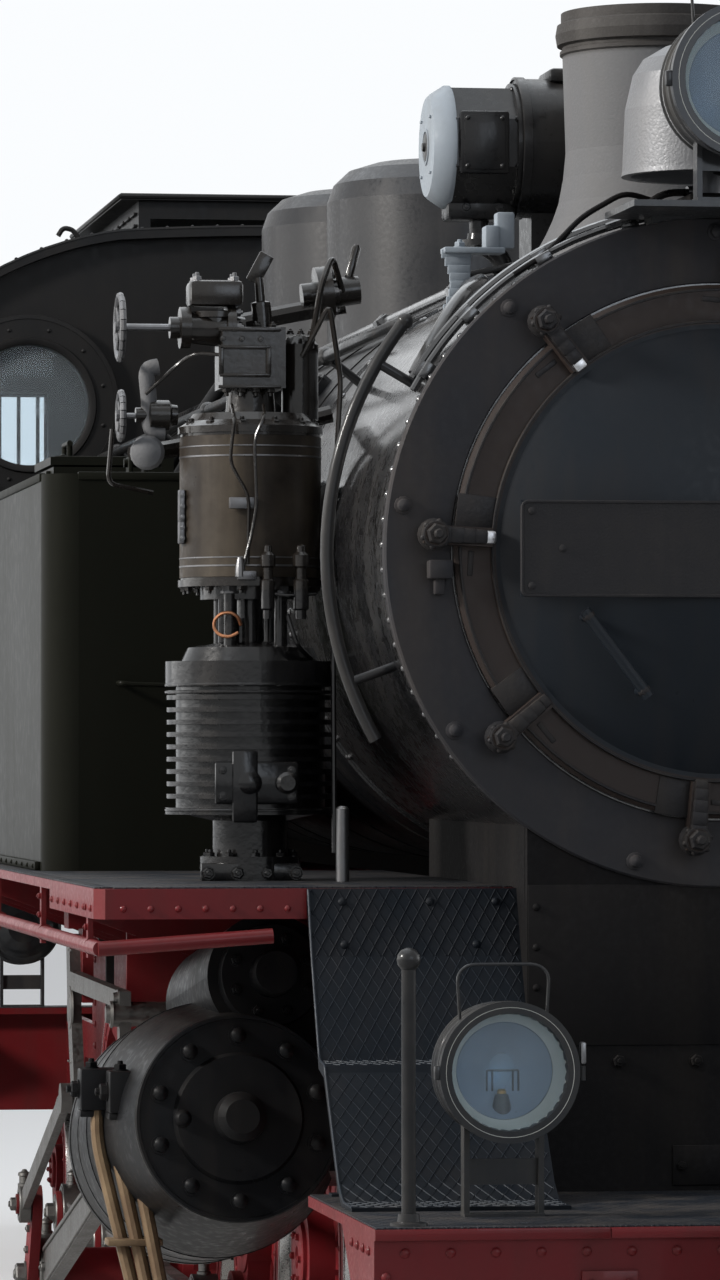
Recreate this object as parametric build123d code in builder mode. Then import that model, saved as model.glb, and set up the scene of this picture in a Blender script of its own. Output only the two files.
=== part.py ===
# Metre-gauge ten-coupled side-tank steam locomotive with a leading and a trailing carrying axle.
# Millimetres. +X points to the front, +Y to the left side, +Z up.
# The origin is the middle of the length, on the plane that the wheel flanges stand on.
import os
from math import acos, atan2, cos, degrees, hypot, radians, sin, sqrt

from build123d import *

os.makedirs("parts", exist_ok=True)

RIGHT, LEFT = -1, 1

# Driving dimensions: wheels and axles
flange_height = 28
wheel_radius = 500
carrying_radius = 275
axle_spacing = 1225
axle_count = 5
total_wheelbase = 8700
back_to_back = 924
tyre_width = 125
tyre_thickness = 60
rim_thickness = 42
axle_radius = 85
carrying_axle_radius = 70
bearing_clearance = 0.5
crank_throw = 250
crank_angle = {RIGHT: 258, LEFT: 168}

rail_z = flange_height
axle_z = rail_z + wheel_radius
carrying_z = rail_z + carrying_radius
axle_x = [axle_spacing * (axle_count // 2 - i) for i in range(axle_count)]
carrying_x = total_wheelbase / 2
tyre_in = back_to_back / 2
tyre_out = tyre_in + tyre_width

# Driving dimensions: whole vehicle
length_over_couplers = 12500
coupler_x = length_over_couplers / 2
coupler_head = 45
beam_x = 5700
beam_half_width = 925
beam_height = 400
beam_thickness = 40
platform_z = 850
platform_thickness = 24
board_z = 1530
board_thickness = 22
board_half_width = 1385
board_front_x = 4560

# Driving dimensions: main frame
plate_in = 400
plate_thickness = 30
plate_out = plate_in + plate_thickness
frame_top_z = 1250
frame_bottom_z = 400
frame_bottom_over_truck = 690
horn_width = 260
horn_height = 170

# Driving dimensions: cylinders and motion, measured along and square to the sloping piston line
cylinder_slope = 6.55
cylinder_y = 975
cylinder_radius = 310
cover_radius = 245
cover_taper = 450
cylinder_rear = 2950
cylinder_front = 3830
piston_rod_radius = 38
main_rod_length = 2200
coupling_rod_y = 690
coupling_rod_thickness = 70
main_rod_y = 1020
main_rod_thickness = 55
return_crank_y = 1080
return_crank_thickness = 30
eccentric_rod_y = 1115
eccentric_rod_thickness = 30
eccentric_throw = 115
eccentric_rod_length = 1275
pin_radius = 55
main_pin_radius = 65
eccentric_pin_radius = 30
pin_clearance = 0.5

# Driving dimensions: boiler
boiler_z = 2288
boiler_radius = 750
boiler_top_z = boiler_z + boiler_radius
shell_thickness = 25
smokebox_front_x = 4700
smokebox_rear_x = 3000
front_ring_thickness = 25
door_opening_radius = 560
door_radius = 600
chimney_x = 4060
cab_front_x = -2100
backhead_x = -2620

# Driving dimensions: tanks, cab and bunker
tank_front_x = 2570
tank_half_width = 1310
tank_in = 775
tank_top_z = 2554
cab_rear_x = -4150
cab_half_width = 1310
wall_thickness = 40
cab_floor_z = 1480
eaves_z = 3230
roof_top_z = 3590
roof_thickness = 30
bunker_rear_x = -5560
bunker_half_width = 1240
bunker_top_z = 2620


def block(x0, x1, y0, y1, z0, z1, mode=Mode.ADD):
    """A box between two corners."""
    with Locations(((x0 + x1) / 2, (y0 + y1) / 2, (z0 + z1) / 2)):
        Box(abs(x1 - x0), abs(y1 - y0), abs(z1 - z0), mode=mode)


def bar(start, end, radius, mode=Mode.ADD):
    """A round bar from one point to another."""
    run = Vector(*end) - Vector(*start)
    with BuildSketch(Plane(origin=start, z_dir=run)) as section:
        Circle(radius)
    extrude(section.sketch, amount=run.length, mode=mode)


def sheet_xz(points, y0, y1, mode=Mode.ADD):
    """A closed outline of (x, z) points, filled from y0 to y1."""
    with BuildSketch(Plane(origin=(0, y0, 0), x_dir=(1, 0, 0), z_dir=(0, -1, 0))) as outline:
        with BuildLine():
            Polyline(*points, close=True)
        make_face()
    extrude(outline.sketch, amount=y0 - y1, mode=mode)


def sheet_yz(points, x0, x1, mode=Mode.ADD):
    """A closed outline of (y, z) points, filled from x0 to x1."""
    with BuildSketch(Plane(origin=(x0, 0, 0), x_dir=(0, 1, 0), z_dir=(1, 0, 0))) as outline:
        with BuildLine():
            Polyline(*points, close=True)
        make_face()
    extrude(outline.sketch, amount=x1 - x0, mode=mode)


def sheet_xy(points, z0, z1, mode=Mode.ADD):
    """A closed outline of (x, y) points, filled from z0 to z1."""
    with BuildSketch(Plane(origin=(0, 0, z0))) as outline:
        with BuildLine():
            Polyline(*points, close=True)
        make_face()
    extrude(outline.sketch, amount=z1 - z0, mode=mode)


def turned(points, origin, axis, mode=Mode.ADD):
    """A turned piece: (distance along the axis, radius) points, closed back to the axis."""
    along = Vector(*axis).normalized()
    across = along.cross(Vector(0, 0, 1)) if abs(along.Z) < 0.9 else Vector(1, 0, 0)
    face_normal = along.cross(across)
    with BuildSketch(Plane(origin=origin, x_dir=along, z_dir=face_normal)) as profile:
        with BuildLine():
            Polyline(*points, close=True)
        make_face()
    revolve(profile.sketch, axis=Axis(origin, along), mode=mode)


def on_slope(along, up):
    """(x, z) of a point along the piston line from the driving axle, and square to it."""
    a = radians(cylinder_slope)
    return along * cos(a) - up * sin(a), axle_z + along * sin(a) + up * cos(a)


def crank_pin(x, side):
    """(x, z) of a crank pin at rest."""
    a = radians(crank_angle[side])
    return x + crank_throw * cos(a), axle_z + crank_throw * sin(a)


def save(name, builder):
    builder.part.label = name
    export_step(builder.part, f"parts/{name}.step")


# Main frame: two plates with horn gaps for the axles, joined by stretchers
front_plate_x = beam_x - beam_thickness
with BuildPart() as main_frame:
    with BuildSketch(Plane(origin=(0, plate_out, 0), x_dir=(1, 0, 0), z_dir=(0, -1, 0))) as plate:
        truck_edge = carrying_x - 550
        half_outline = [
            (truck_edge, frame_bottom_z),
            (truck_edge + 120, frame_bottom_over_truck),
            (4950, frame_bottom_over_truck),
            (5150, 480),
            (front_plate_x, 480),
            (front_plate_x, platform_z - platform_thickness),
            (4680, platform_z - platform_thickness),
            (4680, frame_top_z),
        ]
        rear_outline = [(-x, z) for x, z in reversed(half_outline)]
        with BuildLine():
            Polyline(*half_outline, *rear_outline, close=True)
        make_face()
        for x in axle_x:
            horn_top = axle_z + horn_height
            with Locations((x, (frame_bottom_z + horn_top) / 2)):
                Rectangle(horn_width, horn_top - frame_bottom_z, mode=Mode.SUBTRACT)
        for x in (axle_x[i] - axle_spacing / 2 for i in range(axle_count - 1)):
            with Locations((x, 1060)):
                SlotOverall(420, 160, mode=Mode.SUBTRACT)
    extrude(plate.sketch, amount=plate_thickness)
    extrude(plate.sketch.moved(Location((0, -plate_in - plate_out, 0))), amount=plate_thickness)
    stretchers = [(x - axle_spacing / 2, 420, 760) for x in axle_x[:-1]]
    stretchers += [(4560, 700, 1200), (-4560, 700, 1200), (3300, 760, 1230), (-3300, 700, 1230)]
    for x, z0, z1 in stretchers:
        block(x - 15, x + 15, -plate_in, plate_in, z0, z1)
    for end in (1, -1):
        pivot_x = end * 2950
        block(pivot_x - 150, pivot_x + 150, -plate_in, plate_in, 600, 640)
        bar((pivot_x, 0, 600), (pivot_x, 0, 390), 45)
save("main_frame", main_frame)

# Axle boxes in the horn gaps of the coupled axles
with BuildPart() as axle_boxes:
    for x in axle_x:
        for side in (RIGHT, LEFT):
            half = horn_width / 2
            y0, y1 = sorted((side * (plate_in - 30), side * (plate_out + 12)))
            block(x - half, x + half, y0, y1, axle_z - 150, axle_z + horn_height)
        with Locations(Plane(origin=(x, 0, axle_z), z_dir=(0, 1, 0)).location):
            Cylinder(axle_radius + bearing_clearance, 2 * plate_out + 100, mode=Mode.SUBTRACT)
save("axle_boxes", axle_boxes)

# Buffer beams with the platform plates behind them
with BuildPart() as buffer_beams:
    for end in (1, -1):
        half = beam_half_width
        beam_in = beam_x - beam_thickness
        beam_bottom = platform_z - beam_height
        ends = [end * beam_in, end * beam_x]
        block(min(ends), max(ends), -half, half, beam_bottom, platform_z - platform_thickness)
        for side in (RIGHT, LEFT):
            y0, y1 = sorted((side * (half - 15), side * half))
            gusset = [
                (end * beam_in, beam_bottom),
                (end * beam_in, platform_z - platform_thickness),
                (end * (beam_in - 420), platform_z - platform_thickness),
            ]
            sheet_xz(gusset, y1, y0)
    block(4715, beam_x + 12, -half, half, platform_z - platform_thickness, platform_z)
    block(-beam_x - 12, bunker_rear_x, -half, half, platform_z - platform_thickness, platform_z)
save("buffer_beams", buffer_beams)

# Centre couplers: a buffer head on a shank, with a draw plate below that has a pin hole
draw_hole_radius = 20
draw_hole_x = coupler_x - 190
draw_plate_z = (500, 540)
buffer_z = 690
with BuildPart() as couplers:
    for end in (1, -1):
        face = end * coupler_x
        with BuildSketch(Plane(origin=(face, 0, buffer_z), x_dir=(0, 1, 0), z_dir=(-end, 0, 0))) as head:
            RectangleRounded(420, 270, 110)
        extrude(head.sketch, amount=coupler_head)
        shank = coupler_x - coupler_head - beam_x
        turned([(0, 0), (0, 150), (60, 85), (shank - 105, 85), (shank - 105, 120), (shank, 120), (shank, 0)],
               (face - end * coupler_head, 0, buffer_z), (-end, 0, 0))
        xs = sorted((end * beam_x, end * (draw_hole_x + 60)))
        block(xs[0], xs[1], -70, 70, *draw_plate_z)
        block(min(end * beam_x, end * (beam_x + 25)), max(end * beam_x, end * (beam_x + 25)),
              -170, 170, 470, 820)
        with Locations((end * draw_hole_x, 0, sum(draw_plate_z) / 2)):
            Cylinder(draw_hole_radius, 80, mode=Mode.SUBTRACT)
save("couplers", couplers)

# Carrying trucks: a bearing frame round each carrying axle and a tongue to the pivot
truck_boxes_y = (300, 435)
for name, end in (("lead_truck", 1), ("trail_truck", -1)):
    with BuildPart() as truck:
        x = end * carrying_x
        for side in (RIGHT, LEFT):
            y0, y1 = sorted(side * y for y in truck_boxes_y)
            block(x - 120, x + 120, y0, y1, carrying_z - 110, carrying_z + 130)
        for dx in (-200, 160):
            block(x + dx, x + dx + 40, -435, 435, carrying_z - 20, carrying_z + 120)
        for side in (RIGHT, LEFT):
            y0, y1 = sorted(side * y for y in truck_boxes_y)
            block(x - 200, x + 200, y0, y1, carrying_z + 80, carrying_z + 130)
        tongue_root = x - end * 180
        sheet_xy([(tongue_root, -330), (tongue_root, 330), (end * 3030, 70), (end * 2950, 90),
                  (end * 2870, 0), (end * 2950, -90), (end * 3030, -70)], carrying_z + 85, carrying_z + 125)
        with Locations((end * 2950, 0, carrying_z + 140)):
            Cylinder(100, 90)
            Cylinder(45 + pin_clearance, 400, mode=Mode.SUBTRACT)
        with Locations(Plane(origin=(x, 0, carrying_z), z_dir=(0, 1, 0)).location):
            Cylinder(carrying_axle_radius + bearing_clearance, 1000, mode=Mode.SUBTRACT)
    save(name, truck)


def wheel_disc(x, z, radius, side, hub_radius, hub_out, spokes, spoke_turn):
    """One wheel: flanged tyre, rim, hub and spokes."""
    flange = radius + flange_height
    inner = radius - tyre_thickness - rim_thickness
    turned([(tyre_in, inner), (tyre_in, flange - 8), (tyre_in + 12, flange), (tyre_in + 24, flange - 6),
            (tyre_in + 36, radius), (tyre_out, radius), (tyre_out, inner)],
           (x, 0, z), (0, side, 0))
    turned([(tyre_in - 8, 0), (tyre_in - 8, hub_radius), (hub_out, hub_radius), (hub_out, 0)],
           (x, 0, z), (0, side, 0))
    for i in range(spokes):
        a = radians(spoke_turn + 360 / spokes * i)
        reach = inner + 10
        root = hub_radius - 15
        half_root, half_tip = hub_radius * 0.21, hub_radius * 0.15
        corners = [(root, -half_root), (reach, -half_tip), (reach, half_tip), (root, half_root)]
        turned_corners = [(x + u * cos(a) - v * sin(a), z + u * sin(a) + v * cos(a)) for u, v in corners]
        sheet_xz(turned_corners, side * (tyre_in + 36), side * (tyre_out - 30))


# Coupled wheelsets: axle, spoked wheels, crank bosses, balance weights and crank pins
boss_out = 650
for i, x in enumerate(axle_x):
    with BuildPart() as wheelset:
        bar((x, -tyre_in, axle_z), (x, tyre_in, axle_z), axle_radius)
        for side in (RIGHT, LEFT):
            a = crank_angle[side]
            wheel_disc(x, axle_z, wheel_radius, side, 140, 625, 12, a + 15)
            px, pz = crank_pin(x, side)
            driven = i == axle_count // 2
            turned([(tyre_in + 30, 0), (tyre_in + 30, 105), (boss_out, 105), (boss_out, 0)], (px, 0, pz),
                   (0, side, 0))
            web = [(x + 125 * cos(radians(a + 90)), axle_z + 125 * sin(radians(a + 90))),
                   (x + 125 * cos(radians(a - 90)), axle_z + 125 * sin(radians(a - 90))),
                   (px + 95 * cos(radians(a - 90)), pz + 95 * sin(radians(a - 90))),
                   (px + 95 * cos(radians(a + 90)), pz + 95 * sin(radians(a + 90)))]
            sheet_xz(web, side * (tyre_in + 30), side * (boss_out - 30))
            # The balance weight lies opposite the crank, inside the rim
            spread = 52 if driven else 38
            edge = wheel_radius - tyre_thickness - rim_thickness + 12
            arc = [a + 180 - spread + spread / 4 * k for k in range(9)]
            weight = [(x + edge * cos(radians(t)), axle_z + edge * sin(radians(t))) for t in arc]
            sheet_xz(weight, side * (tyre_in + 20), side * (tyre_out - 8))
            pin = main_pin_radius if driven else pin_radius
            rod_out = coupling_rod_y + coupling_rod_thickness
            turned([(boss_out, 0), (boss_out, pin + 25), (coupling_rod_y - 3, pin + 25), (coupling_rod_y - 3, pin),
                    (rod_out + 4, pin), (rod_out + 4, pin + 18), (rod_out + 22, pin + 18), (rod_out + 22, 0)],
                   (px, 0, pz), (0, side, 0))
            if driven:
                turned([(rod_out + 22, 0), (rod_out + 22, pin + 12), (main_rod_y - 4, pin + 12),
                        (main_rod_y - 4, pin), (return_crank_y, pin), (return_crank_y, 0)],
                       (px, 0, pz), (0, side, 0))
                # The return crank carries the eccentric rod's pin a quarter turn behind the crank
                turn = radians(a + 90)
                qx, qz = x + eccentric_throw * cos(turn), axle_z + eccentric_throw * sin(turn)
                lean = degrees(atan2(qz - pz, qx - px))
                length = hypot(qx - px, qz - pz)
                face = Plane(origin=((px + qx) / 2, side * return_crank_y, (pz + qz) / 2),
                             x_dir=(cos(radians(lean)), 0, sin(radians(lean))), z_dir=(0, side, 0))
                with BuildSketch(face) as crank:
                    SlotCenterToCenter(length, 2 * eccentric_pin_radius + 50)
                extrude(crank.sketch, amount=return_crank_thickness)
                end_y = eccentric_rod_y + eccentric_rod_thickness + 10
                bar((qx, side * (return_crank_y + 10), qz), (qx, side * end_y, qz), eccentric_pin_radius)
    save(f"wheelset_{i + 1}", wheelset)

# Carrying wheelsets
for name, end in (("wheelset_lead", 1), ("wheelset_trail", -1)):
    with BuildPart() as carrying:
        x = end * carrying_x
        bar((x, -tyre_in, carrying_z), (x, tyre_in, carrying_z), carrying_axle_radius)
        for side in (RIGHT, LEFT):
            wheel_disc(x, carrying_z, carrying_radius, side, 95, 605, 9, 10)
    save(name, carrying)

# Coupling rods: one bar with an eye at each crank pin
for name, side in (("coupling_rod_right", RIGHT), ("coupling_rod_left", LEFT)):
    with BuildPart() as coupling_rod:
        pins = [crank_pin(x, side) for x in axle_x]
        y0, y1 = side * coupling_rod_y, side * (coupling_rod_y + coupling_rod_thickness)
        z = pins[0][1]
        sheet_xz([(pins[-1][0], z - 42), (pins[0][0], z - 42), (pins[0][0], z + 42), (pins[-1][0], z + 42)],
                 y0 + side * 15, y1 - side * 12)
        for i, (px, pz) in enumerate(pins):
            pin = main_pin_radius if i == axle_count // 2 else pin_radius
            bar((px, y0, pz), (px, y1, pz), pin + 42)
        for i, (px, pz) in enumerate(pins):
            pin = main_pin_radius if i == axle_count // 2 else pin_radius
            bar((px, y0 - side * 20, pz), (px, y1 + side * 20, pz), pin + pin_clearance, mode=Mode.SUBTRACT)
    save(name, coupling_rod)


def crosshead_along(side):
    """Distance of the crosshead pin along the piston line at rest."""
    a = radians(crank_angle[side] - cylinder_slope)
    return crank_throw * cos(a) + sqrt(main_rod_length**2 - (crank_throw * sin(a)) ** 2)


# Main rods: big end on the driving crank pin, small end beside the crosshead
for name, side in (("main_rod_right", RIGHT), ("main_rod_left", LEFT)):
    with BuildPart() as main_rod:
        bx, bz = crank_pin(0, side)
        sx, sz = on_slope(crosshead_along(side), 0)
        y0, y1 = side * main_rod_y, side * (main_rod_y + main_rod_thickness)
        lean = atan2(sz - bz, sx - bx)
        square = (-sin(lean), cos(lean))
        outline = [(bx + square[0] * 62, bz + square[1] * 62), (bx - square[0] * 62, bz - square[1] * 62),
                   (sx - square[0] * 44, sz - square[1] * 44), (sx + square[0] * 44, sz + square[1] * 44)]
        sheet_xz(outline, y0 + side * 6, y1 - side * 6)
        bar((bx, y0, bz), (bx, y1, bz), main_pin_radius + 55)
        bar((sx, y0, sz), (sx, y1, sz), 78)
        bar((bx, y0 - side * 20, bz), (bx, y1 + side * 20, bz), main_pin_radius + pin_clearance,
            mode=Mode.SUBTRACT)
    save(name, main_rod)

# Eccentric rods: from the return crank to the foot of the expansion link
link_x, link_z = 1250, 1130
link_half = 200
link_arm = link_half + 60


def eccentric_pin(side):
    """(x, z) of the return crank's pin at rest."""
    turn = radians(crank_angle[side] + 90)
    return eccentric_throw * cos(turn), axle_z + eccentric_throw * sin(turn)


def link_lean(side):
    """How far the expansion link leans at rest, so that its foot meets the eccentric rod, in radians."""
    qx, qz = eccentric_pin(side)
    span = hypot(link_x - qx, link_z - qz)
    toward_pin = atan2(qz - link_z, qx - link_x)
    opened = acos((span**2 + link_arm**2 - eccentric_rod_length**2) / (2 * span * link_arm))
    return toward_pin + opened + radians(90)


def on_link(u, v, side):
    """(x, z) of a point of the leaning link, measured from its middle."""
    a = link_lean(side)
    return link_x + u * cos(a) - v * sin(a), link_z + u * sin(a) + v * cos(a)


for name, side in (("eccentric_rod_right", RIGHT), ("eccentric_rod_left", LEFT)):
    with BuildPart() as eccentric_rod:
        qx, qz = eccentric_pin(side)
        fx, fz = on_link(0, -link_arm, side)
        y0, y1 = side * eccentric_rod_y, side * (eccentric_rod_y + eccentric_rod_thickness)
        lean = atan2(fz - qz, fx - qx)
        square = (-sin(lean) * 28, cos(lean) * 28)
        sheet_xz([(qx + square[0], qz + square[1]), (qx - square[0], qz - square[1]),
                  (fx - square[0], fz - square[1]), (fx + square[0], fz + square[1])],
                 y0 + side * 4, y1 - side * 4)
        bar((qx, y0, qz), (qx, y1, qz), eccentric_pin_radius + 26)
        bar((fx, y0, fz), (fx, y1, fz), 42)
        bar((qx, y0 - side * 20, qz), (qx, y1 + side * 20, qz), eccentric_pin_radius + pin_clearance,
            mode=Mode.SUBTRACT)
    save(name, eccentric_rod)

# Cylinders: lagged barrel, covers, tail rod tube, and the valve chest above
chest_y, chest_up, chest_radius = 880, 345, 150
slope = (cos(radians(cylinder_slope)), 0, sin(radians(cylinder_slope)))
with BuildPart() as cylinder_blocks:
    for side in (RIGHT, LEFT):
        sx, sz = on_slope(0, 0)
        foot = (sx, side * cylinder_y, sz)
        rear, front = cylinder_rear, cylinder_front
        flange, cover = cylinder_radius - 35, front + 60
        turned([(rear - 70, 0), (rear - 70, 110), (rear - 10, 130), (rear - 10, flange), (rear + 30, flange),
                (rear + 30, cylinder_radius), (cover - cover_taper, cylinder_radius), (cover, cover_radius),
                (cover + 26, cover_radius), (cover + 26, 156), (cover + 42, 148), (cover + 42, 62),
                (cover + 90, 58), (cover + 102, 40), (cover + 102, 0)], foot, slope)
        vx, vz = on_slope(0, chest_up)
        chest_foot = (vx, side * chest_y, vz)
        turned([(rear - 60, 0), (rear - 60, 60), (rear - 20, 75), (rear - 20, chest_radius),
                (front - 40, chest_radius), (front - 40, chest_radius - 25), (front, chest_radius - 30),
                (front, 55), (front + 90, 50), (front + 90, 0)], chest_foot, slope)
        # The saddle casting bolts both to the frame plate
        ax, az = on_slope(rear + 40, -120)
        bx, bz = on_slope(front - 40, -120)
        cx, cz = on_slope(front - 40, chest_up + 40)
        dx, dz = on_slope(rear + 40, chest_up + 40)
        sheet_xz([(ax, az), (bx, bz), (cx, cz), (dx, dz)], side * plate_out, side * cylinder_y)
        gx, gz = on_slope(rear - 100, 0)
        hx, hz = on_slope(rear + 120, 0)
        bar((gx, side * cylinder_y, gz), (hx, side * cylinder_y, hz), piston_rod_radius + pin_clearance,
            mode=Mode.SUBTRACT)
        gx, gz = on_slope(rear - 100, chest_up)
        hx, hz = on_slope(rear + 60, chest_up)
        bar((gx, side * chest_y, gz), (hx, side * chest_y, hz), 25 + pin_clearance, mode=Mode.SUBTRACT)
save("cylinder_blocks", cylinder_blocks)

# Crossheads with their piston rods
guide_up = 130
union_up = -135
union_length = 420
with BuildPart() as crossheads:
    for side in (RIGHT, LEFT):
        along = crosshead_along(side)
        corners = [on_slope(along - 150, guide_up - 1), on_slope(along + 150, guide_up - 1),
                   on_slope(along + 110, -70), on_slope(along - 60, -85)]
        sheet_xz(corners, side * (cylinder_y - 55), side * (cylinder_y + 40))
        # The drop arm carries the union link's pin below the main rod
        arm = [on_slope(along - 24, -60), on_slope(along + 24, -60), on_slope(along + 20, union_up - 22),
               on_slope(along - 20, union_up - 22)]
        sheet_xz(arm, side * (cylinder_y + 5), side * (cylinder_y + 40))
        ux, uz = on_slope(along, union_up)
        bar((ux, side * (cylinder_y + 5), uz), (ux, side * (cylinder_y + 40), uz), 30)
        px, pz = on_slope(along, 0)
        qx, qz = on_slope(cylinder_rear + 60, 0)
        bar((px, side * cylinder_y, pz), (qx, side * cylinder_y, qz), piston_rod_radius)
save("crossheads", crossheads)

# Guide bars, their brackets and the link brackets, hung from the frame plates
with BuildPart() as motion_brackets:
    for side in (RIGHT, LEFT):
        guide = [on_slope(1790, guide_up), on_slope(cylinder_rear - 71, guide_up),
                 on_slope(cylinder_rear - 71, guide_up + 70), on_slope(1790, guide_up + 70)]
        sheet_xz(guide, side * (cylinder_y - 45), side * (cylinder_y + 30))
        gap_x = axle_spacing * 1.5
        y_in, y_out = side * plate_out, side * (cylinder_y + 40)
        ys = sorted((y_in, y_out))
        block(gap_x - 27, gap_x - 2, ys[0], ys[1], 905, board_z - board_thickness)
        ys = sorted((side * plate_out, side * (return_crank_y + 40)))
        block(link_x - 60, link_x + 60, ys[0], ys[1], link_z + link_half + 20, board_z - board_thickness)
        # The link's bearing plate ends above the main rod at its highest
        ys = sorted((side * (return_crank_y - 30), side * return_crank_y))
        block(link_x - 60, link_x + 60, ys[0], ys[1], link_z + 15, link_z + link_half + 20)
save("motion_brackets", motion_brackets)

# Valve gear: expansion link, radius rod, combination lever, union link and valve spindle
with BuildPart() as valve_gear:
    for side in (RIGHT, LEFT):
        y0, y1 = side * return_crank_y, side * (return_crank_y + 30)
        link = [(-45, -link_half), (-30, -link_arm - 30), (30, -link_arm - 30), (45, -link_half), (25, 0),
                (45, link_half), (-45, link_half), (-70, 0)]
        sheet_xz([on_link(u, v, side) for u, v in link], y0, y1)
        fx, fz = on_link(0, -link_arm, side)
        bar((fx, y0, fz), (fx, side * eccentric_rod_y, fz), 20)
        top = on_slope(2560, chest_up + 60)
        pin = on_slope(2560, chest_up)
        low = on_slope(crosshead_along(side) + union_length, union_up)
        sheet_xz([(top[0] - 28, top[1]), (top[0] + 28, top[1]), (low[0] + 26, low[1]), (low[0] - 26, low[1])],
                 y0, y1)
        sheet_xz([(link_x, link_z + 50), (link_x, link_z + 100), (top[0], top[1]), (top[0], top[1] - 45)], y0, y1)
        tail = on_slope(crosshead_along(side), union_up)
        sheet_xz([(low[0], low[1] - 20), (low[0], low[1] + 20), (tail[0] - 20, tail[1] + 20),
                  (tail[0] - 20, tail[1] - 20)], y0, y1)
        bar((tail[0], y0, tail[1]), (tail[0], y1, tail[1]), 26)
        bar((pin[0], side * (chest_y - 40), pin[1]), (pin[0], y1 + side * 20, pin[1]), 32)
        end = on_slope(cylinder_rear + 20, chest_up)
        bar((pin[0], side * chest_y, pin[1]), (end[0], side * chest_y, end[1]), 25)
save("valve_gear", valve_gear)

# Brake blocks on their hangers, one behind each coupled wheel
block_gap = 8
with BuildPart() as brake_gear:
    for x in axle_x:
        for side in (RIGHT, LEFT):
            y0, y1 = side * (tyre_in + 42), side * (tyre_out - 5)
            face = wheel_radius + block_gap
            arc = [-16 + 4 * k for k in range(9)]
            shoe = [(x - face * cos(radians(t)), axle_z + face * sin(radians(t))) for t in arc]
            shoe += [(x - face - 48, axle_z + 140), (x - face - 48, axle_z - 140)]
            sheet_xz(shoe, y0, y1)
            mid = side * (tyre_in + 80)
            ys = sorted((mid - 14, mid + 14))
            block(x - face - 76, x - face - 48, ys[0], ys[1], axle_z - 160, 1200)
            bar((x - face - 62, side * plate_out, 1175), (x - face - 62, mid + side * 40, 1175), 22)
save("brake_gear", brake_gear)

# Smokebox saddle with the front apron
with BuildPart() as saddle:
    block(3320, 4680, -plate_out, plate_out, frame_top_z, 1760)
    block(4685, 4715, -plate_out, plate_out, platform_z - platform_thickness, 1760)
    with Locations(Plane(origin=(4000, 0, boiler_z), z_dir=(1, 0, 0)).location):
        Cylinder(boiler_radius, 3000, mode=Mode.SUBTRACT)
    block(4680, 4685, -plate_out, plate_out, frame_top_z, 1500)
save("saddle", saddle)

# Smokebox: open shell with the front ring, the flue hole and the hinge lugs for the door
flue_radius = 150
hinge_x, hinge_y, hinge_rise = 4775, 690, 250
with BuildPart() as smokebox:
    turned([(smokebox_rear_x, boiler_radius - shell_thickness), (smokebox_rear_x, boiler_radius),
            (smokebox_front_x + front_ring_thickness, boiler_radius),
            (smokebox_front_x + front_ring_thickness, door_opening_radius), (smokebox_front_x, door_opening_radius),
            (smokebox_front_x, boiler_radius - shell_thickness)], (0, 0, boiler_z), (1, 0, 0))
    with Locations((chimney_x, 0, boiler_z + boiler_radius)):
        Cylinder(flue_radius, 200, mode=Mode.SUBTRACT)
    for rise in (-hinge_rise, hinge_rise):
        for dz in (-60, 32):
            z = boiler_z + rise + dz
            block(smokebox_front_x + front_ring_thickness, hinge_x + 28, hinge_y - 28, hinge_y + 15, z, z + 28)
        bar((hinge_x, hinge_y, boiler_z + rise - 60), (hinge_x, hinge_y, boiler_z + rise + 60), 14)
save("smokebox", smokebox)

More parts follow.
